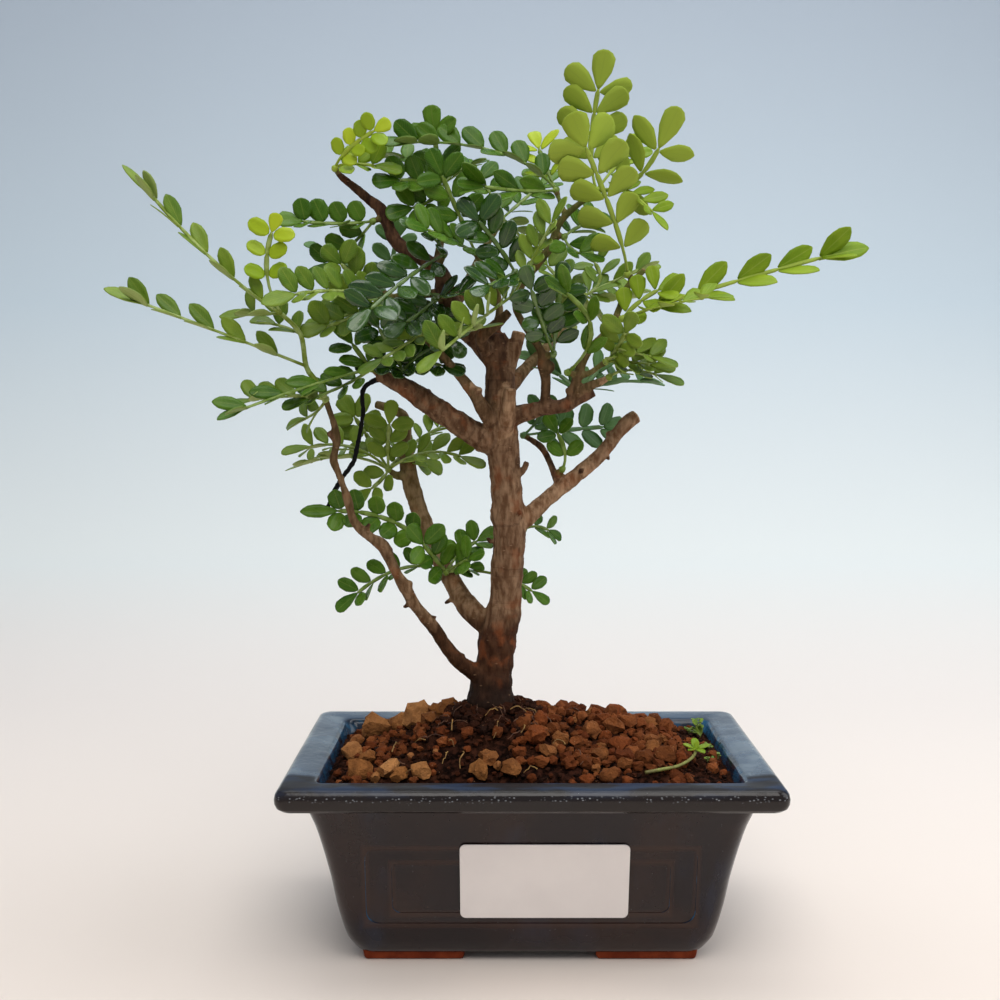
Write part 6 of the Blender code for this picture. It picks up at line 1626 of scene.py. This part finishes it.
def layTube(edit, layers, points, radii, spacing, sides=8):
    run = smoothRun(points, radii, spacing)
    rows = []
    for index, (point, radius) in enumerate(run):
        ahead = run[min(len(run) - 1, index + 1)][0] - run[max(0, index - 1)][0]
        turn = ahead.to_track_quat("Z", "Y")
        rows.append([edit.verts.new(point + turn @ Vector((math.cos(k), math.sin(k), 0)) * radius * milli)
                     for k in (math.tau * step / sides for step in range(sides))])
    return skinRows(edit, layers, rows, 0.4)


# round green stem with a bud of scales at its foot
def layStem(edit, layers, points):
    start = points[0]
    bmesh.ops.create_icosphere(edit, subdivisions=2, radius=timber["bud"] * milli * 0.92,
                               matrix=Matrix.Translation(start))
    for vertex in edit.verts:
        away = vertex.co - start
        vertex.co = start + away * (1 + 0.28 * noise.noise(away / milli * 1.5))
    for face in edit.faces:
        face.smooth = True
    markFaces(edit.faces, layers, rib=1.0, tone=0.4)
    if len(points) > 1:
        layTube(edit, layers, points, [1.0 - 0.3 * k / (len(points) - 1) for k in range(len(points))], 2.0)


# lays a frond's rib, its leaflets in pairs and the one at its end
def layFrond(edit, layers, rng, arch, places, sizes, kinds, young, palest):
    length, width, last = sizes
    layRib(edit, layers, arch, [place for place, _, _ in places], young)
    for place, share, closing in places:
        up = onArch(arch, place)[3]
        for sign in (-1, 1):
            jitter = (rng.uniform(-9, 9), rng.uniform(-10, 8), rng.uniform(-14, 14))
            way = leafletWay(arch, place + rng.uniform(-0.3, 0.3) * milli, sign, closing, jitter)
            here = share * rng.uniform(0.9, 1.06)
            bend = (rng.uniform(-0.02, 0.16), rng.uniform(-0.2, 0.2), rng.uniform(0.5, 2.2))
            layLeaflet(edit, layers, leaflets[kinds[0]], way, up,
                       (length * here * milli, width / 2 * here * milli), bend, rng.uniform(palest, 1), young)
    point, forward, side, up = onArch(arch, arch["rib"])
    bend = (rng.uniform(0, 0.12), rng.uniform(-0.1, 0.1), rng.uniform(0.6, 1.8))
    lastWidth = width * (min(1.15, last / length) if last < length * 1.3 else 0.72)
    layLeaflet(edit, layers, leaflets[kinds[1]], (point, forward, side), up,
               (last * milli, lastWidth / 2 * milli), bend, rng.uniform(palest, 1), young)


def makeSprays():
    rng = random.Random(foliage["seed"])
    finishes = {shade: leafFinish(shade) for shade in leafLooks}
    steps = foliage["fineSteps"]
    for name, (shade, stemPlaces, rows) in sprays.items():
        solid = frame["nodes"][f"spray_{name}"]
        tree = KDTree(len(solid.data.vertices))
        for vertex in solid.data.vertices:
            tree.insert(solid.matrix_world @ vertex.co, vertex.index)
        tree.balance()
        edit, layers = startGreen()
        points = [budSpot(stemPlaces[0])] + [seen(place) for place in stemPlaces[1:]]
        layStem(edit, layers, points)
        palest = foliage["sunlitTone"] if name in foliage["sunlit"] else 0.0
        for number, row in enumerate(rows + filling.get(name, [])):
            frond = dict(zip(frondParts, row))
            start = points[frond["from"]]
            away, turn, rise = laidAs(start, frond, tree) if number < len(rows) else (0, 0, 0)
            arch = archOf(start, frond, away, turn, rise, steps)
            apart = frond["width"] * foliage["crowding"]
            laid = foliage["laid"].get((name, number))
            if arch["loose"]:
                apart = frond["length"] * foliage["looseApart"]
                laid = laid or foliage["looseLaid"]
            shrink = foliage["shrunk"].get((name, number), 1)
            length, width, last = (frond[key] * shrink for key in ("length", "width", "last"))
            if laid:
                turned, lift, sweep, shingle, gap = laid
                arch = archOf(start, frond, away, turn + turned, rise, steps)
                arch.update(lift=math.radians(lift), sweep=sweep, endSweep=sweep, shingle=shingle)
                apart = gap or apart
                if not gap:
                    length, width = length * foliage["looseForm"][0], width * foliage["looseForm"][1]
            leafed = arch["rib"] / milli * (1 - frond["bare"])
            pairs = max(frond["pairs"], min(foliage["mostPairs"], 1 + round(leafed / apart)))
            ratio = width / length
            kind = "wedge" if shade == "pale" and ratio > 0.55 else "round" if ratio > 0.7 else "oval"
            kind = "slim" if ratio < 0.56 else kind
            lastKind = "wedge" if last < length * 1.25 and ratio > 0.5 else "slim"
            young = 1.0 if (name, number) in foliage["young"] else 0.0
            places = pairPlaces(arch, pairs, frond["bare"])
            layFrond(edit, layers, rng, arch, places, (length, width, last), (kind, lastKind), young, palest)
        first, *others = name.split("_")
        label = first + "".join(word.title() for word in others) + "Spray"
        # some sprays wear another shade's finish, as painted light from behind or for their own colour
        endGreen(edit, label, finishes[foliage["tintedAndBacklit"].get(name, shade)], f"leaf_{shade}", f"spray_{name}")


# deep and light tone of the upper side, underside, rib, and how glossy the upper side is
leafLooks = {
    "light": {"deep": (0.066, 0.145, 0.010), "light": (0.200, 0.290, 0.026), "under": (0.310, 0.390, 0.120),
              "rib": (0.185, 0.250, 0.030), "gloss": 0.34, "shine": 0.20},
    "mid": {"deep": (0.028, 0.090, 0.005), "light": (0.096, 0.196, 0.014), "under": (0.210, 0.290, 0.070),
            "rib": (0.125, 0.195, 0.026), "gloss": 0.24, "shine": 0.16},
    "dark": {"deep": (0.006, 0.034, 0.002), "light": (0.036, 0.100, 0.007), "under": (0.110, 0.185, 0.036),
             "rib": (0.066, 0.125, 0.018), "gloss": 0.12, "shine": 0.58},
    # the pale shade is set bright partly as painted light shining through the leaves
    "pale": {"deep": (0.145, 0.250, 0.008), "light": (0.265, 0.370, 0.020), "under": (0.300, 0.390, 0.050),
             "rib": (0.270, 0.350, 0.050), "gloss": 0.42, "shine": 0.16},
    "young": {"deep": (0.150, 0.270, 0.008), "light": (0.270, 0.390, 0.020), "under": (0.320, 0.420, 0.045),
              "rib": (0.300, 0.360, 0.030), "gloss": 0.40, "shine": 0.24},
    "teal": {"deep": (0.034, 0.102, 0.020), "light": (0.090, 0.185, 0.045), "under": (0.110, 0.220, 0.085),
             "rib": (0.100, 0.175, 0.055), "gloss": 0.36, "shine": 0.24},
}
freshTip = {"deep": (0.220, 0.345, 0.008), "light": (0.420, 0.510, 0.020)}
# scale, low, high and detail of the clouds, and scale, size and share of the dots
leafPatterns = {
    "clouds": (260, 0.3, 0.7, 3), "stemClouds": (300, 0.4, 0.6),
    "glands": (1500, 0.34, 0.5),
    "specks": (520, 0.26, 0.3), "speck": (0.035, 0.030, 0.012),
    "midrib": (0.045, 0.015), "margin": (0.36, 0.43),
    "veinScale": 3.6, "veinSlant": -0.55, "veins": (0.86, 1.0),
}


def leafFinish(shade):
    look, pattern = leafLooks[shade], leafPatterns
    leaf = Finish(f"leaf{shade.title()}", look["gloss"], Specular_IOR_Level=look["shine"])
    times, plus = leaf.times, leaf.plus
    under, tone, young, rib = (leaf.attribute(name) for name in ("under", "tone", "young", "rib"))
    flat = leaf.node("UVMap")
    flat.uv_map = "leafUv"
    across, along = (leaf.part(flat.outputs["UV"], axis) for axis in "XY")
    cloud = leaf.mottle(*pattern["clouds"])
    upper = leaf.mix(plus(times(tone, 0.65), times(cloud, 0.35)), look["deep"], look["light"])
    # the midrib and the faint side veins are lighter
    away = leaf.sums("ABSOLUTE", leaf.sums("SUBTRACT", across, 0.5))
    midrib = leaf.between(away, *pattern["midrib"])
    slant = leaf.node("CombineXYZ", X=leaf.sums("MULTIPLY_ADD", away, pattern["veinSlant"], along))
    wave = leaf.node("TexWave", Scale=pattern["veinScale"], Vector=slant.outputs["Vector"])
    upper = leaf.mix(times(midrib, 0.65), upper, look["rib"])
    upper = leaf.mix(times(leaf.between(wave.outputs["Fac"], *pattern["veins"]), 0.16), upper, look["under"])
    # see-through glands sit along the margin
    gland = times(leaf.dots(*pattern["glands"]), leaf.between(away, *pattern["margin"]))
    upper = leaf.mix(times(gland, 0.5), upper, look["under"])
    lower = leaf.mix(times(midrib, 0.5), look["under"], look["rib"])
    lower = leaf.mix(times(tone, 0.35), lower, look["light"])
    leaf.base = leaf.mix(under, upper, lower)
    leaf.over(young, leaf.mix(tone, freshTip["deep"], freshTip["light"]))
    leaf.over(rib, leaf.mix(leaf.mottle(*pattern["stemClouds"]), look["rib"], look["under"]))
    leaf.over(times(leaf.dots(*pattern["specks"]), rib), pattern["speck"], 0.7)
    matte = plus(times(under, 0.25), times(cloud, 0.08))
    wire(leaf.tree, plus(matte, look["gloss"]), leaf.shader.inputs["Roughness"])
    return leaf.done(times(cloud, 0.3), 0.5, 0.0004)


# the weed that creeps over the soil, and the small greens by the rim
weed = {
    "seed": 9,
    "stem": (0.62, 0.40),
    "stalkDark": (0.120, 0.095, 0.022), "stalkPale": (0.260, 0.270, 0.060),
    # bearing, rise and length of each leaf at its tip
    "leaves": ((160, 25, 4.4), (95, 42, 4.2), (20, 22, 4.8), (-60, 8, 4.0), (60, 70, 2.6), (205, 10, 3.0)),
    "leafWidth": 0.62,
    # place, height, stalks and leaf length of each tuft
    "tufts": (((59.5, 21.5), 6.0, 7, 2.0), ((57, 24), 3.6, 5, 1.7), ((60.8, -3), 2.4, 3, 1.7),
              ((58, -8), 1.6, 3, 1.4), ((60.5, 8), 1.8, 4, 1.3)),
    "tuftSpread": 1.6, "tuftLeaves": 3,
    "tuftStalk": (0.2, 0.18, 0.15),
}


def leafAt(edit, layers, form, base, bearing, rise, length, rng):
    level, tall = math.radians(bearing), math.radians(rise)
    out = Vector((math.cos(level) * math.cos(tall), math.sin(level) * math.cos(tall), math.sin(tall)))
    across = Vector((-math.sin(level), math.cos(level), 0))
    bend = (rng.uniform(0, 0.25), rng.uniform(-0.2, 0.2), rng.uniform(0.5, 2))
    layLeaflet(edit, layers, leaflets[form], (base, out, across), Vector((0, 0, 1)),
               (length * milli, length * weed["leafWidth"] / 2 * milli), bend, rng.random(), 0.0)


def makeWeed(rng):
    x, y = ground["weedRoot"]
    points = [potPoint(x + a, y + b, soilHeight(x + a, y + b) + c) for a, b, c in ground["weedRoute"]]
    edit, layers = startGreen()
    first, last = weed["stem"]
    radii = [first + (last - first) * k / (len(points) - 1) for k in range(len(points))]
    stalkFaces = len(layTube(edit, layers, points, radii, 1.2))
    for bearing, rise, length in weed["leaves"]:
        leafAt(edit, layers, "oval", points[-1], bearing, rise, length, rng)
    stalk = plainGrown("weedStalk", weed["stalkDark"], weed["stalkPale"], 0.6, 300)
    creeper = endGreen(edit, "creepingWeed", [bpy.data.materials["leafPale"], stalk], "leaf_light", "weed")
    for polygon in creeper.data.polygons[:stalkFaces]:
        polygon.material_index = 1


def makeRimGreens(rng):
    edit, layers = startGreen()
    wide = weed["tuftSpread"]
    for (x, y), height, stalks, length in weed["tufts"]:
        for _ in range(stalks):
            foot = potPoint(x, y, soilHeight(x, y) - 0.5)
            lean = Vector((rng.uniform(-wide, wide), rng.uniform(-wide, wide), height * rng.uniform(0.4, 1)))
            top = foot + lean * milli
            middle = (foot + top) / 2 + Vector((0.3, 0, 0)) * milli
            layTube(edit, layers, [foot, middle, top], weed["tuftStalk"], 1.5, 5)
            for _ in range(weed["tuftLeaves"]):
                leafAt(edit, layers, "round", top, rng.uniform(0, 360), rng.uniform(0, 60),
                       length * rng.uniform(0.7, 1.1), rng)
    endGreen(edit, "rimGreens", bpy.data.materials["leafLight"], "humus", "soil")


makeWood()
leaflets = modelLeaflets()
makeSprays()
weedDraws = random.Random(weed["seed"])
makeWeed(weedDraws)
makeRimGreens(weedDraws)
for form in leaflets.values():
    bpy.data.objects.remove(form)
print("wood and foliage made")
